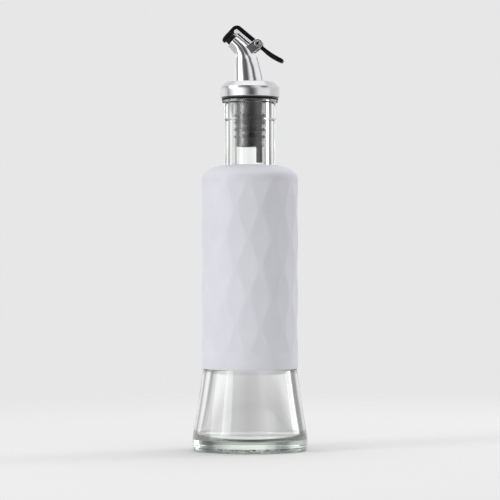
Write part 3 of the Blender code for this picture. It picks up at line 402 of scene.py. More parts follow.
COIL_RADIUS = PIN_RADIUS + SEAT_GAP + SPRING_WIRE_RADIUS
ROLL_SEAT_RADIUS = ROLL_RADIUS + ROLL_SEAT_GAP
ROLL_FROM_MOUTH_AXIS = MOUTH_RADIUS + ROLL_PAST_MOUTH
CAP_BOTTOM = SEAT_GAP + SEAL_HEIGHT + 2 * THIN_GAP
CAP_TOP = CAP_BOTTOM + CAP_THICKNESS
UP = Vector((0, 0, 1))
SIDEWAYS = Vector((0, 1, 0))


def heading(tilt):
    """Unit vector that leans from +Z by tilt, towards the mouth's side if positive."""
    return Vector((-sin(tilt), 0, cos(tilt)))


def backwards(tilt):
    """Unit vector square to heading(tilt), towards the lever's side and down if tilt is negative."""
    return Vector((cos(tilt), 0, sin(tilt)))


def bow(depth, share):
    """Parabola over a share from 0 to 1, zero at both ends and as deep as depth in its middle."""
    return 4 * depth * share * (1 - share)


def bow_slope(depth, share):
    """Rise of bow(depth, share) per share."""
    return 4 * depth * (1 - 2 * share)


# Mesh building


def add_object(name, mesh):
    made = bpy.data.objects.new(name, mesh)
    bpy.context.scene.collection.objects.link(made)
    return made


def from_bmesh(name, shape):
    bmesh.ops.remove_doubles(shape, verts=shape.verts, dist=WELD_DISTANCE)
    bmesh.ops.recalc_face_normals(shape, faces=shape.faces)
    mesh = bpy.data.meshes.new(name)
    shape.to_mesh(mesh)
    shape.free()
    return add_object(name, mesh)


def skin(name, rings, closed=False):
    """A surface from ring to ring of points. A ring of one point closes an end."""
    shape = bmesh.new()
    made = [[shape.verts.new(point) for point in ring] for ring in rings]
    pairs = list(zip(made, made[1:]))
    if closed:
        pairs.append((made[-1], made[0]))
    for lower, upper in pairs:
        count = max(len(lower), len(upper))
        for i in range(count):
            j = (i + 1) % count
            corners = ((lower, i), (lower, j), (upper, j), (upper, i))
            shape.faces.new(list(dict.fromkeys(ring[k % len(ring)] for ring, k in corners)))
    return from_bmesh(name, shape)


def whole_turn(steps):
    return [2 * pi * i / steps for i in range(steps)]


def circle(radius, z, steps):
    if radius == 0:
        return [Vector((0, 0, z))]
    return [Vector((radius * cos(a), radius * sin(a), z)) for a in whole_turn(steps)]


def turned(name, profile, steps, closed=False):
    """Turn an (r, z) profile about Z."""
    return skin(name, [circle(r, z, steps) for r, z in profile], closed)


def arc(centre_r, centre_z, radius_r, radius_z, start, end, steps):
    """Points of an elliptical arc in the (r, z) plane, angles from the +r axis."""
    angles = [start + (end - start) * i / steps for i in range(steps + 1)]
    return [(centre_r + radius_r * cos(a), centre_z + radius_z * sin(a)) for a in angles]


def rounded(corners, steps=FILLET_STEPS, cyclic=True):
    """Outline points for [(point, radius)], each corner with a radius turned into an arc."""
    outline = []
    last_corner = len(corners) - 1
    for i, (corner, radius) in enumerate(corners):
        if radius == 0 or (not cyclic and i in (0, last_corner)):
            outline.append(corner)
            continue
        to_last = (corners[i - 1][0] - corner).normalized()
        to_next = (corners[(i + 1) % len(corners)][0] - corner).normalized()
        half_angle = to_last.angle(to_next) / 2
        centre = corner + (to_last + to_next).normalized() * radius / sin(half_angle)
        reach = radius / sin(half_angle) * cos(half_angle)
        first = corner + to_last * reach - centre
        last = corner + to_next * reach - centre
        for step in range(steps + 1):
            outline.append(centre + first.slerp(last, step / steps).normalized() * radius)
    return outline


def arc_points(centre, side, out, radius, start, end, steps=32):
    """Outline points about a centre, by angle from its side direction towards its out direction."""
    angles = [start + (end - start) * i / steps for i in range(steps + 1)]
    return [centre + (side * cos(a) + out * sin(a)) * radius for a in angles]


def filleted(corners, steps=FILLET_STEPS, cyclic=False):
    """An (r, z) profile from [(r, z, fillet radius)]."""
    points = rounded([(Vector((r, 0, z)), radius) for r, z, radius in corners], steps, cyclic)
    return [(point.x, point.z) for point in points]


def tube_section(inner, outer, high, low, rounds):
    """Section of a turned tube. The rounds start at the inner top corner and go round by the outer wall."""
    corners = ((inner, high), (outer, high), (outer, low), (inner, low))
    return filleted([(*corner, radius) for corner, radius in zip(corners, rounds)], cyclic=True)


def disc_profile(radius, low, high, edge):
    return filleted([(0, high, 0), (radius, high, edge), (radius, low, edge), (0, low, 0)])


def cylinder(name, radius, start, end, steps=SMALL_STEPS):
    axis = Vector(end) - Vector(start)
    shape = bmesh.new()
    bmesh.ops.create_cone(
        shape, cap_ends=True, segments=steps, radius1=radius, radius2=radius, depth=axis.length
    )
    turn = UP.rotation_difference(axis).to_matrix().to_4x4()
    middle = Matrix.Translation((Vector(start) + Vector(end)) / 2)
    bmesh.ops.transform(shape, matrix=middle @ turn, verts=shape.verts)
    return from_bmesh(name, shape)


def post(name, radius, x, low, high, steps=SMALL_STEPS):
    """An upright cylinder."""
    return cylinder(name, radius, (x, 0, low), (x, 0, high), steps)


def prism(name, outline, half_thickness, middle=0.0, upright=True):
    """A flat outline given thickness: upright in XZ about y = middle, or flat in XY about z = middle."""
    side = SIDEWAYS if upright else UP
    ends = [side * (middle + end) for end in (-half_thickness, half_thickness)]
    shape = bmesh.new()
    low, high = [[shape.verts.new(point + end) for point in outline] for end in ends]
    shape.faces.new(low)
    shape.faces.new(high)
    for i in range(len(outline)):
        j = (i + 1) % len(outline)
        shape.faces.new((low[i], low[j], high[j], high[i]))
    return from_bmesh(name, shape)


def slab(name, corner, along, across, half_thickness):
    """An upright prism from a corner and two sides of its four-sided outline."""
    return prism(name, [corner, corner + along, corner + along + across, corner + across], half_thickness)


def evaluated_mesh(piece):
    bpy.context.view_layer.update()
    evaluated = piece.evaluated_get(bpy.context.evaluated_depsgraph_get())
    return bpy.data.meshes.new_from_object(evaluated)


def tube(name, points, radius, resolution=8):
    """A round bar of even radius through the points."""
    curve = bpy.data.curves.new(name, "CURVE")
    curve.dimensions = "3D"
    curve.bevel_depth = radius
    curve.bevel_resolution = resolution
    curve.use_fill_caps = True
    spline = curve.splines.new("POLY")
    spline.points.add(len(points) - 1)
    for knot, spot in zip(spline.points, points):
        knot.co = (*spot, 1.0)
    drawn = add_object(name, curve)
    shape = bmesh.new()
    shape.from_mesh(evaluated_mesh(drawn))
    bpy.data.objects.remove(drawn, do_unlink=True)
    return from_bmesh(name, shape)


def settle(piece):
    """Apply a piece's modifiers to its mesh."""
    mesh = evaluated_mesh(piece)
    shape = bmesh.new()
    shape.from_mesh(mesh)
    bmesh.ops.remove_doubles(shape, verts=shape.verts, dist=CUT_WELD)
    bmesh.ops.dissolve_degenerate(shape, edges=shape.edges, dist=CUT_WELD)
    shape.to_mesh(mesh)
    shape.free()
    piece.modifiers.clear()
    piece.data = mesh


def boolean(target, operation, *others):
    """Join, cut or intersect a piece with others, which are used up."""
    for other in others:
        modifier = target.modifiers.new(operation.lower(), "BOOLEAN")
        modifier.operation = operation
        modifier.solver = "EXACT"
        modifier.object = other
    settle(target)
    for other in others:
        bpy.data.objects.remove(other, do_unlink=True)


def bevel(piece, width, segments=3):
    modifier = piece.modifiers.new("edges", "BEVEL")
    modifier.limit_method = "ANGLE"
    modifier.angle_limit = BEVEL_ANGLE
    modifier.width = width
    modifier.segments = segments
    settle(piece)


def place(piece, location, axis, angle):
    """Turn and move a piece's mesh, so that its object stays at the origin."""
    piece.data.transform(Matrix.Translation(location) @ Matrix.Rotation(angle, 4, axis))


def finish_piece(piece, material, body, node, angle=SHADING_ANGLE):
    piece.data.shade_smooth()
    piece.data.set_sharp_from_angle(angle=angle)
    piece.data.materials.clear()
    piece.data.materials.append(material)
    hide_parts(node)
    if body:
        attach(piece, body)
    return piece


# Materials


class Nodes:
    """Short ways to add nodes to a material or a world. Most return the output that others link to."""

    def __init__(self, owner):
        owner.use_nodes = True
        self.tree = owner.node_tree

    def add(self, kind, values=None, **settings):
        """Add a node, set it up and feed it."""
        node = self.tree.nodes.new("ShaderNode" + kind)
        for name, value in settings.items():
            setattr(node, name, value)
        return self.feed(node, values or {})

    def feed(self, node, values):
        """Link or set a node's inputs. A colour is three shares or one grey level."""
        for name, value in values.items():
            socket = node.inputs[name]
            if isinstance(value, bpy.types.NodeSocket):
                self.tree.links.new(value, socket)
            elif socket.type != "RGBA":
                socket.default_value = value
            elif isinstance(value, float):
                socket.default_value = (value, value, value, 1)
            else:
                socket.default_value = (*value, 1)
        return node

    def feed_own(self, name, values):
        """Feed one of the nodes that the tree starts with."""
        return self.feed(self.tree.nodes[name], values)

    def coordinates(self, space):
        return self.add("TexCoord").outputs[space]

    def part(self, vector, axis):
        return self.add("SeparateXYZ", {"Vector": vector}).outputs[axis]

    def math(self, operation, *values):
        return self.add("Math", dict(enumerate(values)), operation=operation).outputs["Value"]

    def vector(self, operation, *values, output="Value"):
        return self.add("VectorMath", dict(enumerate(values)), operation=operation).outputs[output]

    def mix(self, factor, first, second):
        """First where the factor is 0, second where it is 1."""
        values = {"Factor": factor, "A": first, "B": second}
        return self.add("Mix", values, data_type="RGBA").outputs["Result"]

    def fade(self, value, start, end, low=0, high=1, kind="SMOOTHSTEP"):
        """Low up to the start, high from the end on, and between them in between."""
        values = {"Value": value, "From Min": start, "From Max": end, "To Min": low, "To Max": high}
        return self.add("MapRange", values, interpolation_type=kind).outputs["Result"]

    def noise(self, scale, stretch=(1, 1, 1), detail=3.0):
        """Noise in the object's own space."""
        mapping = self.add("Mapping", {"Vector": self.coordinates("Object"), "Scale": stretch})
        values = {"Vector": mapping.outputs["Vector"], "Scale": scale, "Detail": detail}
        return self.add("TexNoise", values).outputs["Fac"]

    def spread(self, noise, low, high):
        """The noise's middle range, spread out from low to high."""
        return self.fade(noise, *NOISE_RANGE, low, high, "LINEAR")

    def relief(self, height, depth, **under):
        """The normal of a surface with fine relief, over another one if it is given as Normal."""
        values = {"Height": height, "Strength": 1.0, "Distance": depth, **under}
        return self.add("Bump", values).outputs["Normal"]


def varied(name, stretch=(1, 1, 1)):
    """A surface whose colour and roughness drift softly, with fine grain."""
    dark, light, rough, cloud_scale, grain_scale, grain_depth, even = LOOKS[name]
    made = bpy.data.materials.new(name)
    nodes = Nodes(made)
    grain = nodes.noise(grain_scale, stretch)
    uneven = {
        "Base Color": nodes.mix(nodes.spread(nodes.noise(cloud_scale), 0, 1), dark, light),
        "Roughness": nodes.spread(grain, *rough),
        "Normal": nodes.relief(grain, grain_depth),
    }
    nodes.feed_own("Principled BSDF", {**uneven, **even})
    return made


def clear_glass():
    """Faintly green in its depth, with a mould-blown wall's slight waves and a stippled contact ring."""
    made = bpy.data.materials.new("clear_glass")
    nodes = Nodes(made)
    waves = nodes.relief(nodes.noise(WAVE_SCALE, WAVE_STRETCH, detail=1.0), WAVE_DEPTH)
    height = nodes.part(nodes.coordinates("Object"), "Z")
    near_foot = nodes.fade(height, STIPPLE_HEIGHT, 0, kind="LINEAR")
    stipple = nodes.math("MULTIPLY", nodes.noise(STIPPLE_SCALE, detail=0.0), near_foot)
    look = {
        "Base Color": (1, 1, 1),
        "Roughness": 0.0,
        "IOR": GLASS_IOR,
        "Transmission Weight": 1.0,
        "Normal": nodes.relief(stipple, STIPPLE_DEPTH, Normal=waves),
    }
    nodes.feed_own("Principled BSDF", look)
    absorption = nodes.add("VolumeAbsorption", {"Color": GLASS_TINT, "Density": GLASS_DENSITY})
    nodes.feed_own("Material Output", {"Volume": absorption.outputs["Volume"]})
    return made


def brushed_round():
    """Steel brushed round its own axis: fine lines that run along the turned surface."""
    made = varied("satin_steel", BRUSH_STRETCH)
    nodes = Nodes(made)
    tangent = nodes.add("Tangent", direction_type="RADIAL", axis="Z")
    nodes.feed_own("Principled BSDF", {"Tangent": tangent.outputs["Tangent"]})
    return made


def stamped(name, bore_radius=0):
    """Stamped steel: dark flat faces, a painted highlight on edges and, round the pivot's axis, a painted
    shade in the bore.
    """
    made = varied(name)
    nodes = Nodes(made)
    # Where the normal turns away from the pivot's axis, the colour is a painted highlight
    across = nodes.vector("MULTIPLY", nodes.coordinates("Normal"), SIDEWAYS, output="Vector")
    flatness = nodes.fade(nodes.vector("LENGTH", across), *EDGE_HIGHLIGHT_TURN, kind="LINEAR")
    colour = nodes.mix(flatness, EDGE_HIGHLIGHT_STEEL, FACE_STEEL)
    if bore_radius:
        # Within the bore's radius of the pivot's axis the colour is painted near-black as the bore's shade
        side_view = nodes.vector("MULTIPLY", nodes.coordinates("Object"), (1, 0, 1), output="Vector")
        from_axis = nodes.vector("DISTANCE", side_view, (PIVOT.x, 0, PIVOT.z))
        outside = nodes.math("GREATER_THAN", from_axis, bore_radius + THIN_GAP)
        colour = nodes.mix(outside, BORE_SHADE_COLOUR, colour)
    nodes.feed_own("Principled BSDF", {"Base Color": colour})
    return made


GLASS = clear_glass()
SILICONE = varied("pale_silicone")
RUBBER = varied("black_rubber")
STOPPER_RUBBER = varied("stopper_rubber")
STEEL = brushed_round()
CHROME = varied("polished_chrome")
BRACKET = stamped("bracket_steel")
RIVET = stamped("rivet_steel", PIN_BORE_RADIUS)
STRIP = varied("strip_steel")
SPRING = varied("spring_steel")
PLASTIC = varied("black_plastic")
GREY = varied("grey_plastic")


# Bottle and sleeve


def shoulder(outer_radius, rise, root_radius):
    """Shoulder profile from the neck's root out to the body's wall, going down."""
    wide = outer_radius - SHOULDER_CENTRE_RADIUS
    root = acos((root_radius - SHOULDER_CENTRE_RADIUS) / wide)
    return arc(SHOULDER_CENTRE_RADIUS, SHOULDER_HEIGHT, wide, rise, root, 0, SHOULDER_STEPS)


def flare_radius(z):
    """Outer radius of the glass foot between its band and the ledge."""
    share = (z - FOOT_BAND_TOP) / (LEDGE_HEIGHT - FOOT_BAND_TOP)
    straight = FOOT_RADIUS + (LEDGE_RADIUS - FOOT_RADIUS) * share
    return straight - bow(FLARE_HOLLOW, share)


def bottle_inside():
    """Inner wall from the middle of the floor to the rim."""
    low = BASE_THICKNESS + INNER_CORNER_RADIUS
    top = SHOULDER_HEIGHT + INNER_SHOULDER_RISE
    inside = BODY_RADIUS - BODY_WALL
    wall_growth = LEDGE_RADIUS - inside - FLARE_WALL
    corner = flare_radius(low) - FLARE_WALL - INNER_CORNER_RADIUS
    profile = [(0, BASE_THICKNESS)]
    profile += arc(corner, low, INNER_CORNER_RADIUS, INNER_CORNER_RADIUS, -pi / 2, 0, ARC_STEPS)
    for i in range(1, ARC_STEPS):
        z = low + (LEDGE_HEIGHT - low) * i / ARC_STEPS
        profile.append((flare_radius(z) - FLARE_WALL - wall_growth * i / ARC_STEPS, z))
    profile.append((inside, LEDGE_HEIGHT))
    turn_in = (0, INNER_SHOULDER_TURN, SHOULDER_STEPS)
    profile += arc(BORE_RADIUS, SHOULDER_HEIGHT, inside - BORE_RADIUS, INNER_SHOULDER_RISE, *turn_in)
    neck = [
        (*profile.pop(), 0),
        (BORE_RADIUS, top + INNER_NECK_RISE, INNER_NECK_ROUND),
        (BORE_RADIUS, NECK_ROOT, 0),
    ]
    rim = [
        (BORE_RADIUS, NECK_ROOT + NECK_ROOT_HEIGHT, 0),
        (BORE_RADIUS, RIM, LIP_EDGE),
        (LIP_RADIUS, RIM, 0),
    ]
    return profile + filleted(neck, FINE_FILLET) + filleted(rim)[:-1]


def bottle_outside():
    """Outer wall from the rim down to the middle of the underside."""
    lip_bottom = RIM - LIP_EDGE - LIP_HEIGHT
    finish_bottom = RIM - FINISH_HEIGHT
    neck = [
        (BORE_RADIUS, RIM, 0),
        (LIP_RADIUS, RIM, LIP_EDGE),
        (LIP_RADIUS, lip_bottom, SMALL_ROUND),
        (FINISH_RADIUS, lip_bottom - FINISH_SLOPE, SMALL_ROUND),
        (FINISH_RADIUS, finish_bottom, SMALL_ROUND),
        (NECK_RADIUS, finish_bottom - FINISH_SLOPE, NECK_TOP_ROUND),
        (NECK_RADIUS, NECK_ROOT + NECK_ROOT_HEIGHT, NECK_FLARE_ROUND),
        (NECK_ROOT_RADIUS, NECK_ROOT, NECK_ROOT_ROUND),
    ]
    body = shoulder(BODY_RADIUS, SHOULDER_RISE - SLEEVE_WALL - SEAT_GAP, NECK_ROOT_RADIUS)
    neck.append((*body[0], 0))
    low = FOOT_BAND_TOP + FLARE_MARGIN
    high = LEDGE_HEIGHT - FLARE_MARGIN
    ledge = [
        (BODY_RADIUS, LEDGE_HEIGHT + LEDGE_MARGIN, 0),
        (BODY_RADIUS, LEDGE_HEIGHT, LEDGE_ROOT_ROUND),
        (LEDGE_RADIUS, LEDGE_HEIGHT, LEDGE_EDGE_ROUND),
        (flare_radius(high), high, 0),
    ]
    heights = [high + (low - high) * i / ARC_STEPS for i in range(1, ARC_STEPS)]
    ring_inside = FOOT_RADIUS - HEEL_RADIUS - CONTACT_RING_WIDTH
    foot = [
        (flare_radius(low), low, 0),
        (FOOT_RADIUS, FOOT_BAND_TOP, FOOT_BAND_ROUND),
        (FOOT_RADIUS, 0, HEEL_RADIUS),
        (ring_inside, 0, CONTACT_RING_ROUND),
        (ring_inside - PUNT_SLOPE_WIDTH, PUNT_HEIGHT, PUNT_ROUND),
        (0, PUNT_HEIGHT, 0),
    ]
    upper = filleted(neck, FINE_FILLET)[1:-1] + body + filleted(ledge)
    return upper + [(flare_radius(z), z) for z in heights] + filleted(foot, SMOOTH_FILLET)


def glass_bottle():
    made = turned("bottle_glass", bottle_inside() + bottle_outside(), BOTTLE_STEPS)
    return finish_piece(made, GLASS, "bottle", "glass_bottle")


def diamond_depth(across, up):
    """Depth at a place counted in half diamonds. Ridges run where across + up or across - up is even."""
    rising = ((across + up) / 2) % 1
    falling = ((across - up) / 2) % 1
    return bow(bow(DIAMOND_DEPTH, rising), falling)


def grip_sleeve():
    """Rings of points joined into one shell, because no turned profile holds the diamonds."""
    columns = 2 * DIAMONDS_ROUND * SLEEVE_CELLS
    bottom = LEDGE_HEIGHT + SEAT_GAP
    pattern_bottom = LEDGE_HEIGHT + DIAMOND_BOTTOM_MARGIN
    pattern_height = SHOULDER_HEIGHT - DIAMOND_TOP_MARGIN - pattern_bottom
    pattern_rows = DIAMOND_HALF_ROWS * SLEEVE_CELLS
    hole_radius = NECK_ROOT_RADIUS + SEAT_GAP
    inner_radius = SLEEVE_RADIUS - SLEEVE_WALL
    outer_shoulder = shoulder(SLEEVE_RADIUS, SHOULDER_RISE - SLEEVE_TOP_DROP, hole_radius)
    inner_shoulder = shoulder(inner_radius, SHOULDER_RISE - SLEEVE_WALL, hole_radius)
    angles = [DIAMOND_TURN + a for a in whole_turn(columns)]

    def ring(radius_at, z):
        return [Vector((radius_at(i) * sin(a), -radius_at(i) * cos(a), z)) for i, a in enumerate(angles)]

    hem = [
        (inner_radius, pattern_bottom, 0),
        (inner_radius, bottom, SLEEVE_EDGE_ROUND),
        (SLEEVE_RADIUS, bottom, SLEEVE_EDGE_ROUND),
        (SLEEVE_RADIUS, pattern_bottom, 0),
    ]
    rings = [ring(lambda i: r, z) for r, z in filleted(hem)[:-1]]
    for row in range(pattern_rows + 1):
        up = row / SLEEVE_CELLS
        ends = row in (0, pattern_rows)
        z = pattern_bottom + pattern_height * row / pattern_rows
        rings.append(ring(lambda i: SLEEVE_RADIUS - (0 if ends else diamond_depth(i / SLEEVE_CELLS, up)), z))
    rings += [ring(lambda i: r, z) for r, z in reversed(outer_shoulder)]
    rings += [ring(lambda i: r, z) for r, z in inner_shoulder]
    made = skin("sleeve_silicone", rings, closed=True)
    return finish_piece(made, SILICONE, "bottle", "grip_sleeve", SLEEVE_SHADING_ANGLE)


# Gasket, stopper and breather tube


def rim_gasket():
    hole = BORE_RADIUS + SEAT_GAP
    edge = LIP_RADIUS + GASKET_OVERHANG
    top = GASKET_BOTTOM + GASKET_THICKNESS
    rounds = (TINY_ROUND, FINE_ROUND, FINE_ROUND, TINY_ROUND)
    section = tube_section(hole, edge, top, GASKET_BOTTOM, rounds)
    made = turned("gasket_ring", section, BOTTLE_STEPS, closed=True)
    return finish_piece(made, RUBBER, "gasket", "rim_gasket")


def stopper():
    tip = RIM - STOPPER_DEPTH
    profile = [
        (0, STOPPER_TOP, 0),
        (FLANGE_RADIUS, STOPPER_TOP, SMALL_ROUND),
        (FLANGE_RADIUS, STOPPER_FLANGE_BOTTOM, SMALL_ROUND),
        (STOPPER_RADIUS, STOPPER_FLANGE_BOTTOM, SMALL_ROUND),
    ]
    for fin in range(FIN_COUNT):
        z = RIM - TOP_FIN_DEPTH - fin * FIN_PITCH
        profile += [
            (STOPPER_RADIUS, z + FIN_THICKNESS / 2, SMALL_ROUND),
            (FIN_RADIUS, z + FIN_THICKNESS / 6, FIN_EDGE_ROUND),
            (FIN_RADIUS, z - FIN_THICKNESS / 6, FIN_EDGE_ROUND),
            (STOPPER_RADIUS, z - FIN_THICKNESS / 2, SMALL_ROUND),
        ]
    profile += [
        (STOPPER_RADIUS, tip + STOPPER_TIP_CHAMFER, SMALL_ROUND),
        (STOPPER_RADIUS - STOPPER_TIP_CHAMFER, tip, SMALL_ROUND),
        (0, tip, 0),
    ]
    made = turned("stopper_body", filleted(profile, COARSE_FILLET), POURER_STEPS)
    low = tip - CUT_PAST
    high = STOPPER_TOP + CUT_PAST
    boolean(
        made,
        "DIFFERENCE",
        post("oil_channel", OIL_CHANNEL_RADIUS, OIL_CHANNEL_X, low, high),
        post("spigot_seat", SPIGOT_RADIUS + SEAT_GAP, OIL_CHANNEL_X, STOPPER_TOP - SPIGOT_LENGTH, high),
        post("breather_hole", BREATHER_RADIUS + THIN_GAP, BREATHER_X, low, high),
    )
    return finish_piece(made, STOPPER_RUBBER, "pourer", "stopper")


def breather_tube():
    bottom = RIM - BREATHER_DEPTH
    bore = BREATHER_RADIUS - BREATHER_WALL
    rounds = (TINY_ROUND, TINY_ROUND, SMALL_ROUND, FINE_ROUND)
    section = tube_section(bore, BREATHER_RADIUS, STOPPER_TOP, bottom, rounds)
    made = turned("breather_pipe", section, SMALL_STEPS, closed=True)
    place(made, (BREATHER_X, 0, 0), "Z", 0)
    return finish_piece(made, GREY, "pourer", "breather_tube")


# Spout, vent and collar


def eased(keys, at):
    """Smooth value through [(place, value)] at a place, without overshoot."""
    grades = [(last[1] - first[1]) / (last[0] - first[0]) for first, last in zip(keys, keys[1:])]
    bends = [2 * a * b / (a + b) if a * b > 0 else 0 for a, b in zip(grades, grades[1:])]
    slopes = [grades[0]] + bends + [grades[-1]]
    i = max(j for j in range(len(grades)) if j == 0 or at > keys[j][0])
    (start, first), (end, last) = keys[i : i + 2]
    width = end - start
    t = min(max((at - start) / width, 0), 1)
    rest = 1 - t
    return (
        first * (1 + 2 * t) * rest * rest
        + slopes[i] * width * t * rest * rest
        + last * t * t * (3 - 2 * t)
        - slopes[i + 1] * width * t * t * rest
    )


def spout_route():
    """Centre line of the spout as [(point, tilt, radius, wall)] from its foot to its mouth."""
    foot = Vector((SPOUT_FOOT_X, 0, SPOUT_FOOT))
    centre = foot + heading(SPOUT_LEAN) * SPOUT_LEG - backwards(SPOUT_LEAN) * SPOUT_BEND_RADIUS
    nose = centre + backwards(MOUTH_TILT) * SPOUT_BEND_RADIUS
    bend = SPOUT_BEND_RADIUS * (MOUTH_TILT - SPOUT_LEAN)
    bend_end = SPOUT_LEG + bend
    stops = []
    for i in range(SPOUT_LEG_STEPS):
        at = SPOUT_LEG * i / SPOUT_LEG_STEPS
        stops.append((at, foot + heading(SPOUT_LEAN) * at, SPOUT_LEAN))
    for i in range(SPOUT_BEND_STEPS):
        tilt = SPOUT_LEAN + (MOUTH_TILT - SPOUT_LEAN) * i / SPOUT_BEND_STEPS
        at = SPOUT_LEG + bend * i / SPOUT_BEND_STEPS
        stops.append((at, centre + backwards(tilt) * SPOUT_BEND_RADIUS, tilt))
    for i in range(SPOUT_NOSE_STEPS + 1):
        at = SPOUT_NOSE * i / SPOUT_NOSE_STEPS
        stops.append((bend_end + at, nose + heading(MOUTH_TILT) * at, MOUTH_TILT))
    places = (0, SPOUT_LEG, bend_end, bend_end + SPOUT_NOSE)
    radii = list(zip(places, (SPOUT_FOOT_RADIUS, SPOUT_WAIST_RADIUS, SPOUT_NOSE_RADIUS, MOUTH_RADIUS)))
    walls = list(zip(places, (SPOUT_FOOT_WALL, SPOUT_WAIST_WALL, SPOUT_NOSE_WALL, MOUTH_WALL)))
    return [(point, tilt, eased(radii, at), eased(walls, at)) for at, point, tilt in stops]


ROUTE = spout_route()
MOUTH = ROUTE[-1][0]


def at_mouth(along_lip, above):
    """A point in the mouth's frame: along the lip towards the arm, and out of the mouth."""
    return MOUTH + backwards(MOUTH_TILT) * along_lip + heading(MOUTH_TILT) * above


def hoop(point, tilt, radius):
    """A ring of points square to the spout's way."""
    out = backwards(tilt)
    return [point + out * radius * cos(a) + SIDEWAYS * radius * sin(a) for a in whole_turn(POURER_STEPS)]


def lip_hoops(radius, inwards):
    """The mouth's rounded lip from the wall up. It curls to the axis if inwards is 1 and away if it is -1."""
    hoops = []
    for i in range(FILLET_STEPS + 1):
        a = pi / 2 * i / FILLET_STEPS
        below = at_mouth(0, MOUTH_LIP_ROUND * (sin(a) - 1))
        hoops.append(hoop(below, MOUTH_TILT, radius - inwards * MOUTH_LIP_ROUND * (1 - cos(a))))
    return hoops


def spout_shell(growth=0.0):
    """The spout's closed outside, for joining and for seating the bracket."""
    start = Vector((ROUTE[0][0].x, 0, SPOUT_FLANGE_TOP - THIN_GAP))
    rings = [[start], hoop(start, 0, SPOUT_FOOT_RADIUS + growth)]
    rings += [hoop(point, tilt, radius + growth) for point, tilt, radius, _ in ROUTE[:-1]]
    return skin("spout_shell", rings + lip_hoops(MOUTH_RADIUS + growth, 1) + [[MOUTH]])


def spout_bore():
    """The oil's way from the spigot to the mouth, with a rounded lip at its end."""
    entry = Vector((OIL_CHANNEL_X, 0, SPOUT_FLANGE_BOTTOM))
    below = entry - UP * (SPIGOT_LENGTH + SEAT_GAP)
    bore = MOUTH_RADIUS - MOUTH_WALL
    past = at_mouth(0, SEAT_GAP)
    rings = [[below], hoop(below, 0, OIL_CHANNEL_RADIUS), hoop(entry, 0, OIL_CHANNEL_RADIUS)]
    rings += [hoop(point, tilt, radius - wall) for point, tilt, radius, wall in ROUTE[:-2]]
    rings += lip_hoops(bore, -1)
    rings += [hoop(past, MOUTH_TILT, bore + MOUTH_LIP_ROUND), [past]]
    return skin("spout_bore", rings)


def back_of_spout(stop, sink):
    point, tilt, radius, _ = stop
    return point + backwards(tilt) * (radius - sink)


def vent_route():
    """Centre line of the vent tube, from its open top down the spout's back to the breather tube."""
    leg = ROUTE[: SPOUT_LEG_STEPS + 1 : VENT_STRIDE]
    down_the_back = [back_of_spout(stop, VENT_SINK) for stop in reversed(leg)]
    upwards = (down_the_back[0] - down_the_back[1]).normalized()
    top = down_the_back[0] + upwards * VENT_ABOVE_WAIST
    collar_pass = Vector((down_the_back[-1].x, 0, COLLAR_TOP - COLLAR_SHEET))
    flange_pass = Vector((BREATHER_X, 0, SPOUT_FLANGE_TOP - VENT_BEND_UNDER_FLANGE))
    bottom = Vector((BREATHER_X, 0, STOPPER_TOP + THIN_GAP))
    return [top] + down_the_back + [collar_pass, flange_pass, bottom]


VENT_ROUTE = vent_route()


def vent_cutter(name, radius):
    """A tube along the vent's route, longer than it at both ends."""
    top = VENT_ROUTE[0] + (VENT_ROUTE[0] - VENT_ROUTE[1]).normalized() * VENT_MOUTH_CLEARANCE
    return tube(name, [top] + VENT_ROUTE[1:-1] + [VENT_ROUTE[-1] - UP * CUT_PAST], radius)


def vent_tube():
    made = tube("vent_pipe", VENT_ROUTE, VENT_RADIUS)
    boolean(made, "DIFFERENCE", vent_cutter("vent_bore", VENT_RADIUS - VENT_WALL))
    return finish_piece(made, CHROME, "pourer", "vent_tube")


def spout():
    flange = disc_profile(FLANGE_RADIUS, SPOUT_FLANGE_BOTTOM, SPOUT_FLANGE_TOP, SMALL_ROUND)
    made = turned("spout_pipe", flange, POURER_STEPS)
    low = SPOUT_FLANGE_BOTTOM - SPIGOT_LENGTH
    spigot = post("spigot", SPIGOT_RADIUS, OIL_CHANNEL_X, low, SPOUT_FLANGE_TOP - THIN_GAP)
    boolean(made, "UNION", spout_shell(), spigot)
    boolean(made, "DIFFERENCE", spout_bore(), vent_cutter("vent_groove", VENT_RADIUS + THIN_GAP))
    return finish_piece(made, CHROME, "pourer", "spout", SPOUT_SHADING_ANGLE)


def collar():
    inner_radius = COLLAR_RADIUS - COLLAR_SHEET
    inner_top_radius = COLLAR_TOP_RADIUS - COLLAR_SHEET / 2
    crown = COLLAR_TOP + COLLAR_CROWN
    profile = [
        (0, crown - COLLAR_SHEET, 0),
        (inner_top_radius, COLLAR_TOP - COLLAR_SHEET, COLLAR_INNER_ROUND),
        (inner_radius, COLLAR_SHOULDER, COLLAR_INNER_ROUND),
        (inner_radius, COLLAR_BOTTOM, FINE_ROUND),
        (COLLAR_RADIUS, COLLAR_BOTTOM, COLLAR_EDGE_ROUND),
        (COLLAR_RADIUS, COLLAR_SHOULDER + COLLAR_CHAMFER_RISE, COLLAR_SHOULDER_ROUND),
        (COLLAR_TOP_RADIUS, COLLAR_TOP, COLLAR_TOP_ROUND),
        (0, crown, 0),
    ]
    made = turned("collar_shell", filleted(profile), POURER_STEPS)
    hole = (SPOUT_FOOT_X, SPOUT_FLANGE_TOP + SEAT_GAP, SPOUT_FOOT + SPOUT_FOOT_RISE, POURER_STEPS)
    boolean(
        made,
        "DIFFERENCE",
        post("spout_hole", SPOUT_FOOT_RADIUS + SEAT_GAP, *hole),
        vent_cutter("vent_notch", VENT_RADIUS + SEAT_GAP),
    )
    return finish_piece(made, STEEL, "pourer", "collar")


# Bracket, pin and spring

BRACKET_OUT = backwards(BRACKET_TILT)
BRACKET_UP = heading(BRACKET_TILT)


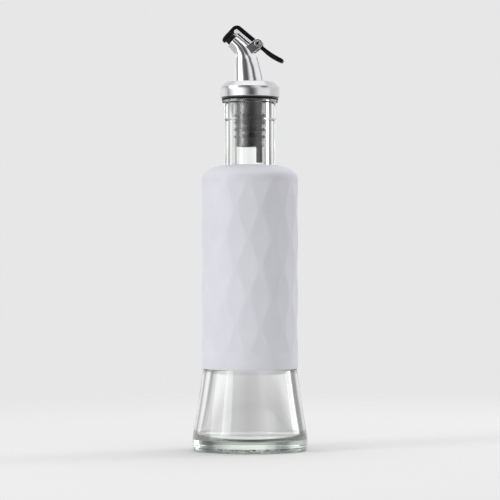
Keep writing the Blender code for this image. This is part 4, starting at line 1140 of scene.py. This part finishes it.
def at_bracket(along, out):
    """A point in the bracket's frame: from the pivot up along the spout's back, and away from the spout."""
    return PIVOT + BRACKET_UP * along + BRACKET_OUT * out


def floor_height():
    """Place of the bracket floor's underside out from the pivot, just clear of the spout's back."""
    backs = [back_of_spout(stop, 0) - PIVOT for stop in ROUTE[SPOUT_LEG_STEPS:-SPOUT_NOSE_STEPS]]
    return max(b.dot(BRACKET_OUT) for b in backs if abs(b.dot(BRACKET_UP)) <= EAR_RADIUS) + SEAT_GAP


BRACKET_FLOOR = floor_height()


def axle(name, radius, half_length, steps=SMALL_STEPS):
    """A cylinder on the pivot's axis."""
    end = SIDEWAYS * half_length
    return cylinder(name, radius, PIVOT - end, PIVOT + end, steps)


def pivot_bracket():
    ear = [at_bracket(-EAR_RADIUS, -EAR_LENGTH), at_bracket(EAR_RADIUS, -EAR_LENGTH)]
    ear += arc_points(PIVOT, BRACKET_UP, BRACKET_OUT, EAR_RADIUS, 0, pi)
    middle = EAR_SPACING / 2 + EAR_SHEET / 2
    made = prism("bracket_ears", ear, EAR_SHEET / 2, middle)
    far_ear = prism("far_ear", ear, EAR_SHEET / 2, -middle)
    for blank in (made, far_ear):
        bevel(blank, EAR_EDGE_ROUND)
    front = at_bracket(BRACKET_FLOOR_FRONT, BRACKET_FLOOR)
    length = BRACKET_UP * (BRACKET_FLOOR_FRONT + BRACKET_FLOOR_BACK)
    boolean(made, "UNION", far_ear, slab("bracket_floor", front, -length, BRACKET_OUT * EAR_SHEET, middle))
    ear_holes = axle("ear_holes", PIN_RADIUS + THIN_GAP, EAR_OUTER + CUT_PAST)
    boolean(made, "DIFFERENCE", spout_shell(THIN_GAP), ear_holes)
    return finish_piece(made, BRACKET, "pourer", "pivot_bracket")


def pivot_pin():
    """Semi-tubular rivet with rolled heads and its bore in the near one, turned about Z and laid along Y."""
    inner = EAR_OUTER + THIN_GAP
    outer = inner + PIN_HEAD_THICKNESS
    bore_end = outer - PIN_BORE_DEPTH
    profile = [
        (0, bore_end, 0),
        (PIN_BORE_RADIUS, bore_end, SMALL_ROUND),
        (PIN_BORE_RADIUS, outer, PIN_HEAD_ROUND),
        (PIN_HEAD_RADIUS, outer, PIN_HEAD_ROUND),
        (PIN_HEAD_RADIUS, inner, TINY_ROUND),
        (PIN_RADIUS, inner, TINY_ROUND),
        (PIN_RADIUS, -inner, TINY_ROUND),
        (PIN_HEAD_RADIUS, -inner, TINY_ROUND),
        (PIN_HEAD_RADIUS, -outer, PIN_HEAD_ROUND),
        (0, -outer, 0),
    ]
    made = turned("pivot_rivet", filleted(profile, MEDIUM_FILLET), SMALL_STEPS)
    place(made, PIVOT, "X", pi / 2)
    return finish_piece(made, RIVET, "pourer", "pivot_pin")


def return_spring():
    """Torsion coil on the pin. One leg stands on the bracket's floor, the other lifts the lever's tail."""
    first = BRACKET_TILT - pi / 2
    last = -TAIL_TILT - pi / 2 + 2 * pi * (SPRING_FULL_TURNS + 1)
    steps = round((last - first) / (2 * pi) * SPRING_POINTS_PER_TURN)
    width = SPRING_PITCH * (last - first) / (2 * pi)
    coil = []
    for step in range(steps + 1):
        share = step / steps
        angle = first + (last - first) * share
        around = Vector((cos(angle), 0, sin(angle))) * COIL_RADIUS
        coil.append(PIVOT + around + SIDEWAYS * (width * share - width / 2))
    foot = coil[0] + BRACKET_OUT * (BRACKET_FLOOR + EAR_SHEET + THIN_GAP)
    lifter = coil[-1] + TAIL_BACK * SPRING_LEG
    made = tube("torsion_coil", [foot] + coil + [lifter], SPRING_WIRE_RADIUS, SPRING_RESOLUTION)
    finish_piece(made, SPRING, None, "return_spring")
    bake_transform(made)
    return made


# Lever, strip and seal


ROLL = at_mouth(ROLL_FROM_MOUTH_AXIS, ROLL_ABOVE_MOUTH)
ARM_BACK = backwards(-ARM_TILT)
ARM_UP = heading(-ARM_TILT)
TAIL_BACK = backwards(-TAIL_TILT)
TAIL_UP = heading(-TAIL_TILT)


def arm_strip():
    """Strip under the arm, with its end rolled down. Its top runs just under the roll's top."""
    half = STRIP_WIDTH / 2
    back = ARM_BACK * ((PIVOT - ROLL).dot(ARM_BACK) - STRIP_BACK)
    bottom = ROLL + ARM_UP * (ROLL_RADIUS - THIN_GAP - STRIP_THICKNESS)
    made = slab("bright_strip", bottom, back, ARM_UP * STRIP_THICKNESS, half)
    bevel(made, STRIP_EDGE_ROUND, MEDIUM_FILLET)
    roll = turned("rolled_end", disc_profile(ROLL_RADIUS, -half, half, ROLL_EDGE_ROUND), SMALL_STEPS)
    place(roll, ROLL, "X", pi / 2)
    boolean(made, "UNION", roll)
    return finish_piece(made, STRIP, "lever", "arm_strip")


def mouth_seal():
    """Turned about Z and laid on the mouth's axis."""
    top = CAP_BOTTOM - THIN_GAP
    profile = [
        (0, top + SEAL_STUB_LENGTH, 0),
        (SEAL_STUB_RADIUS, top + SEAL_STUB_LENGTH, SMALL_ROUND),
        (SEAL_STUB_RADIUS, top, TINY_ROUND),
        (SEAL_TOP_RADIUS, top, SMALL_ROUND),
        (SEAL_TIP_RADIUS, SEAT_GAP, SMALL_ROUND),
        (0, SEAT_GAP, 0),
    ]
    made = turned("seal_plug", filleted(profile), SMALL_STEPS)
    place(made, MOUTH, "Y", -MOUTH_TILT)
    return finish_piece(made, RUBBER, "lever", "mouth_seal")


def cap_disc():
    """The low-crowned disc of the cap, on the mouth's axis."""
    profile = [
        (0, CAP_TOP + CAP_CROWN, 0),
        (CAP_RADIUS, CAP_TOP, CAP_TOP_EDGE),
        (CAP_RADIUS, CAP_BOTTOM, CAP_LOW_EDGE),
        (0, CAP_BOTTOM, 0),
    ]
    made = turned("cap_disc", filleted(profile, SMOOTH_FILLET), POURER_STEPS)
    place(made, MOUTH, "Y", -MOUTH_TILT)
    return made


def tail_top(share):
    """A point on the tail's sagging top, by its share of the tail's length, and the slope there."""
    height = TAIL_TOP_FROM_PIVOT - bow(TAIL_SAG, share)
    point = PIVOT + TAIL_UP * height + TAIL_BACK * TAIL_LENGTH * share
    return point, TAIL_TILT + atan(bow_slope(TAIL_SAG, share) / TAIL_LENGTH)


def tail_bottom(share):
    top, slope = tail_top(share)
    taper = TAIL_ROOT_THICKNESS + (TAIL_TIP_THICKNESS - TAIL_ROOT_THICKNESS) * share
    return top - heading(-slope) * (taper + bow(TAIL_BELLY, share))


def roll_seat(start, end):
    """Part of the hollow round the roll, by angle from the lip's direction towards the mouth's."""
    mouth_axes = (backwards(MOUTH_TILT), heading(MOUTH_TILT))
    return arc_points(ROLL, *mouth_axes, ROLL_SEAT_RADIUS, start, end, ARC_STEPS)


SEAT_START = pi / 2 - ARM_TILT - MOUTH_TILT - acos(ROLL_RADIUS / ROLL_SEAT_RADIUS)
SEAT_END = pi - asin((CAP_BOTTOM - ROLL_ABOVE_MOUTH) / ROLL_SEAT_RADIUS)


def lever_side():
    """Side outline of the arm and tail, cap end first. It ends with the hollow over the roll."""
    out = heading(MOUTH_TILT)
    arm_top = PIVOT + ARM_UP * ARM_TOP_FROM_PIVOT
    knee_reach = ((arm_top - MOUTH).dot(out) - CAP_TOP) / ARM_BACK.dot(out)
    shares = [step / TAIL_STEPS for step in range(1, TAIL_STEPS)]
    under_hub = PIVOT + ARM_UP * ((ROLL - PIVOT).dot(ARM_UP) + ROLL_RADIUS)
    corners = [
        (at_mouth(SEAL_STUB_RADIUS, CAP_BOTTOM), 0),
        (at_mouth(SEAL_STUB_RADIUS, CAP_TOP), 0),
        (arm_top - ARM_BACK * knee_reach, KNEE_RADIUS),
        (arm_top, 0),
    ]
    corners += [(tail_top(share)[0], 0) for share in shares]
    corners += [(tail_top(1)[0], TAIL_EDGE_RADIUS), (tail_bottom(1), TAIL_EDGE_RADIUS)]
    corners += [(tail_bottom(share), 0) for share in reversed(shares)]
    corners += [(tail_bottom(0), 0), (under_hub, 0)]
    corners += [(point, 0) for point in roll_seat(SEAT_START, SEAT_END)]
    return rounded(corners, SMOOTH_FILLET)


def roll_guard():
    """The thin wall between the seal and the roll."""
    inside = SEAL_TOP_RADIUS + SEAT_GAP
    outside = ROLL_FROM_MOUTH_AXIS - ROLL_SEAT_RADIUS
    outline = [
        at_mouth(inside, CAP_BOTTOM + SEAT_GAP),
        at_mouth(inside, ROLL_GUARD_ABOVE_MOUTH),
        at_mouth(outside, ROLL_GUARD_ABOVE_MOUTH),
    ]
    outline += list(reversed(roll_seat(SEAT_END, pi)))
    outline.append(outline[-1] + heading(MOUTH_TILT) * SEAT_GAP)
    return prism("roll_guard", outline, ARM_HALF_WIDTH - LEVER_EDGE_ROUND)


def shade_sheet():
    """A dark sheet on the lever under the strip, put there so that the gap under the strip shows a painted
    shade line. It runs back into the hub.
    """
    top = ROLL + ARM_BACK * SHADE_SHEET_START + ARM_UP * (ROLL_RADIUS - STRIP_THICKNESS - THIN_GAP * 3 / 2)
    back = ARM_BACK * ((PIVOT - top).dot(ARM_BACK) - HUB_RADIUS / 2)
    return slab("shade_sheet", top, ARM_UP * -SHADE_SHEET_THICKNESS, back, SHADE_SHEET_HALF_WIDTH)


def lever_plan():
    """Outline from above: an even arm that widens to the thumb pad."""
    pad_start = PIVOT.x + THUMB_PAD_START
    half_pad = THUMB_PAD_WIDTH / 2
    near = (
        (MOUTH.x - CAP_RADIUS - CAP_THICKNESS, -ARM_HALF_WIDTH, 0),
        (pad_start, -ARM_HALF_WIDTH, THUMB_PAD_BLEND),
        (pad_start + THUMB_PAD_SPREAD, -half_pad, THUMB_PAD_BLEND),
        (tail_top(1)[0].x, -half_pad, THUMB_PAD_CORNER),
    )
    corners = [*near, *((x, -y, radius) for x, y, radius in reversed(near))]
    return rounded([(Vector((x, y, 0)), radius) for x, y, radius in corners], SMOOTH_FILLET)


def lever():
    made = prism("lever_moulding", lever_side(), THUMB_PAD_WIDTH)
    plan = prism("lever_plan", lever_plan(), LEVER_PLAN_HALF_HEIGHT, PIVOT.z, upright=False)
    boolean(made, "INTERSECT", plan)
    bevel(made, LEVER_EDGE_ROUND, COARSE_FILLET)
    hub = axle("hub", HUB_RADIUS, HUB_HALF_WIDTH, POURER_STEPS)
    # The dark sheet under the strip paints the shade line in the gap below it
    boolean(made, "UNION", cap_disc(), hub, roll_guard(), shade_sheet())
    slot_radius = HUB_RADIUS - HUB_WALL_OVER_SPRING
    slot_half = SPRING_PITCH * (SPRING_FULL_TURNS + 1) / 2 + SPRING_WIRE_RADIUS + SEAT_GAP
    opening_half = slot_half - THIN_GAP
    slot_width = BRACKET_UP * -2 * slot_radius
    slot_down = BRACKET_OUT * -SPRING_SLOT_DEPTH
    groove_top = PIVOT - TAIL_UP * (COIL_RADIUS - SPRING_WIRE_RADIUS - THIN_GAP)
    groove_back = TAIL_BACK * (SPRING_LEG + SEAT_GAP)
    groove_down = TAIL_UP * -SPRING_SLOT_DEPTH
    socket_top = CAP_BOTTOM + SEAL_STUB_LENGTH + THIN_GAP
    boolean(
        made,
        "DIFFERENCE",
        axle("pivot_hole", PIN_RADIUS + PIVOT_CLEARANCE, HUB_HALF_WIDTH + CUT_PAST),
        axle("spring_slot", slot_radius, slot_half, POURER_STEPS),
        slab("slot_opening", at_bracket(slot_radius, 0), slot_width, slot_down, opening_half),
        slab("leg_groove", groove_top, groove_back, groove_down, opening_half - THIN_GAP),
        cylinder("seal_socket", SEAL_STUB_RADIUS + THIN_GAP, at_mouth(0, 0), at_mouth(0, socket_top)),
    )
    made.visible_glossy = False
    return finish_piece(made, PLASTIC, "lever", "lever", LEVER_SHADING_ANGLE)


# Studio


def floor():
    rings = [circle(radius, 0, FLOOR_STEPS) for radius in (0, FLOOR_FADE_START, FLOOR_RADIUS)]
    made = skin("floor", rings)
    material = bpy.data.materials.new("floor")
    nodes = Nodes(material)
    look = {"Base Color": FLOOR_COLOUR, "Roughness": 1.0, "Specular IOR Level": 0.0}
    matte = nodes.feed_own("Principled BSDF", look)
    distance = nodes.vector("LENGTH", nodes.coordinates("Object"))
    far = nodes.fade(distance, FLOOR_FADE_START, FLOOR_FADE_END)
    clear = nodes.add("BsdfTransparent")
    mix = nodes.add("MixShader", {"Fac": far, 1: matte.outputs["BSDF"], 2: clear.outputs["BSDF"]})
    nodes.feed_own("Material Output", {"Surface": mix.outputs["Shader"]})
    made.data.materials.append(material)
    made.visible_glossy = False
    made.visible_transmission = False


def studio_world():
    """The surroundings as each kind of ray meets them."""
    world = bpy.data.worlds.new("studio")
    bpy.context.scene.world = world
    nodes = Nodes(world)
    direction = nodes.coordinates("Generated")
    rise = nodes.part(direction, "Z")
    height = nodes.math("ARCSINE", rise)
    towards_camera = nodes.math("MULTIPLY", nodes.part(direction, "Y"), -1)
    around = nodes.math("ARCTAN2", nodes.part(direction, "X"), towards_camera)
    azimuth = nodes.math("MULTIPLY", nodes.math("SUBTRACT", around, CAMERA_AZIMUTH), 180 / pi)

    def by_azimuth(stops, lean=0):
        """Brightness by azimuth, softly between the stops."""
        turn = nodes.math("DIVIDE", nodes.math("ADD", nodes.math("ADD", azimuth, lean), 180), 360)
        ramp = nodes.add("ValToRGB", {"Fac": nodes.math("FRACT", turn)})
        ramp.color_ramp.interpolation = "EASE"
        elements = ramp.color_ramp.elements
        while len(elements) < len(stops):
            elements.new(0.5)
        for element, (degrees, level) in zip(elements, stops):
            element.position = (degrees + 180) / 360
            element.color = (level, level, level, 1)
        return ramp.outputs["Color"]

    def by_height(edges, below, over):
        return nodes.mix(nodes.fade(height, *edges), below, over)

    bends = [nodes.fade(height, start, end, high=degrees) for start, end, degrees in FRAME_BENDS]
    lean = nodes.math("MULTIPLY", nodes.math("ADD", *bends), nodes.fade(azimuth, *FRAME_LEAN_EDGE))
    mirrored = by_height(HIGH_BELT_EDGE, by_azimuth(LOW_BELT), by_azimuth(HIGH_BELT, lean))
    mirrored = by_height(UPPER_BELT_EDGE, mirrored, by_azimuth(UPPER_BELT))
    mirrored = by_height(OVERHEAD_EDGE, mirrored, MIRRORED_OVERHEAD)
    mirrored = by_height(HORIZON, MIRRORED_FLOOR, mirrored)

    behind = by_azimuth(THROUGH_GLASS)
    evened = nodes.math("MAXIMUM", behind, nodes.fade(towards_camera, *FRONT_EDGE))
    ground = by_height(NEAR_FLOOR_EDGE, NEAR_FLOOR_THROUGH_GLASS, FAR_FLOOR_THROUGH_GLASS)
    through = by_height(HORIZON_THROUGH_GLASS, nodes.math("MULTIPLY", ground, evened), behind)
    through = by_height(UNDERNEATH_EDGE, UNDERNEATH_THROUGH_GLASS, through)

    sky = nodes.math("MULTIPLY", nodes.math("MAXIMUM", rise, 0), SKY_RISE)
    sky = nodes.math("ADD", sky, SKY_AT_HORIZON)
    ray = nodes.add("LightPath").outputs
    colour = nodes.mix(ray["Is Glossy Ray"], sky, mirrored)
    colour = nodes.mix(ray["Is Transmission Ray"], colour, through)
    colour = nodes.mix(ray["Is Camera Ray"], colour, BACKGROUND)
    nodes.feed_own("Background", {"Color": colour, "Strength": 1.0})


def soft_light(name, azimuth, elevation, distance, width, height, power):
    """A soft box that faces the bottle. Azimuth 0 is at the camera, positive to its right."""
    data = bpy.data.lights.new(name, "AREA")
    data.shape = "RECTANGLE"
    data.size = width
    data.size_y = height
    data.energy = power
    made = add_object(name, data)
    around = radians(azimuth) + CAMERA_AZIMUTH
    up = radians(elevation)
    away = Vector((sin(around) * cos(up), -cos(around) * cos(up), sin(up)))
    made.location = UP * LIGHT_TARGET_HEIGHT + away * distance
    made.rotation_euler = away.to_track_quat("Z", "Y").to_euler()
    made.visible_glossy = False


def camera():
    data = bpy.data.cameras.new("camera")
    data.lens = CAMERA_LENS
    data.sensor_width = CAMERA_SENSOR
    data.shift_y = CAMERA_SHIFT_Y
    made = add_object("camera", data)
    away = Vector((sin(CAMERA_AZIMUTH), -cos(CAMERA_AZIMUTH), 0))
    made.location = away * CAMERA_DISTANCE + UP * CAMERA_HEIGHT
    made.rotation_euler = (pi / 2, 0, CAMERA_AZIMUTH)
    bpy.context.scene.camera = made


camera()
studio_world()
for light, sizes in SOFT_LIGHTS.items():
    soft_light(light, *sizes)
bpy.context.scene.view_settings.view_transform = "Standard"
floor()

glass_bottle()
grip_sleeve()
rim_gasket()
stopper()
breather_tube()
vent_tube()
collar()
spout()
pivot_bracket()
pivot_pin()
return_spring()
lever()
arm_strip()
mouth_seal()
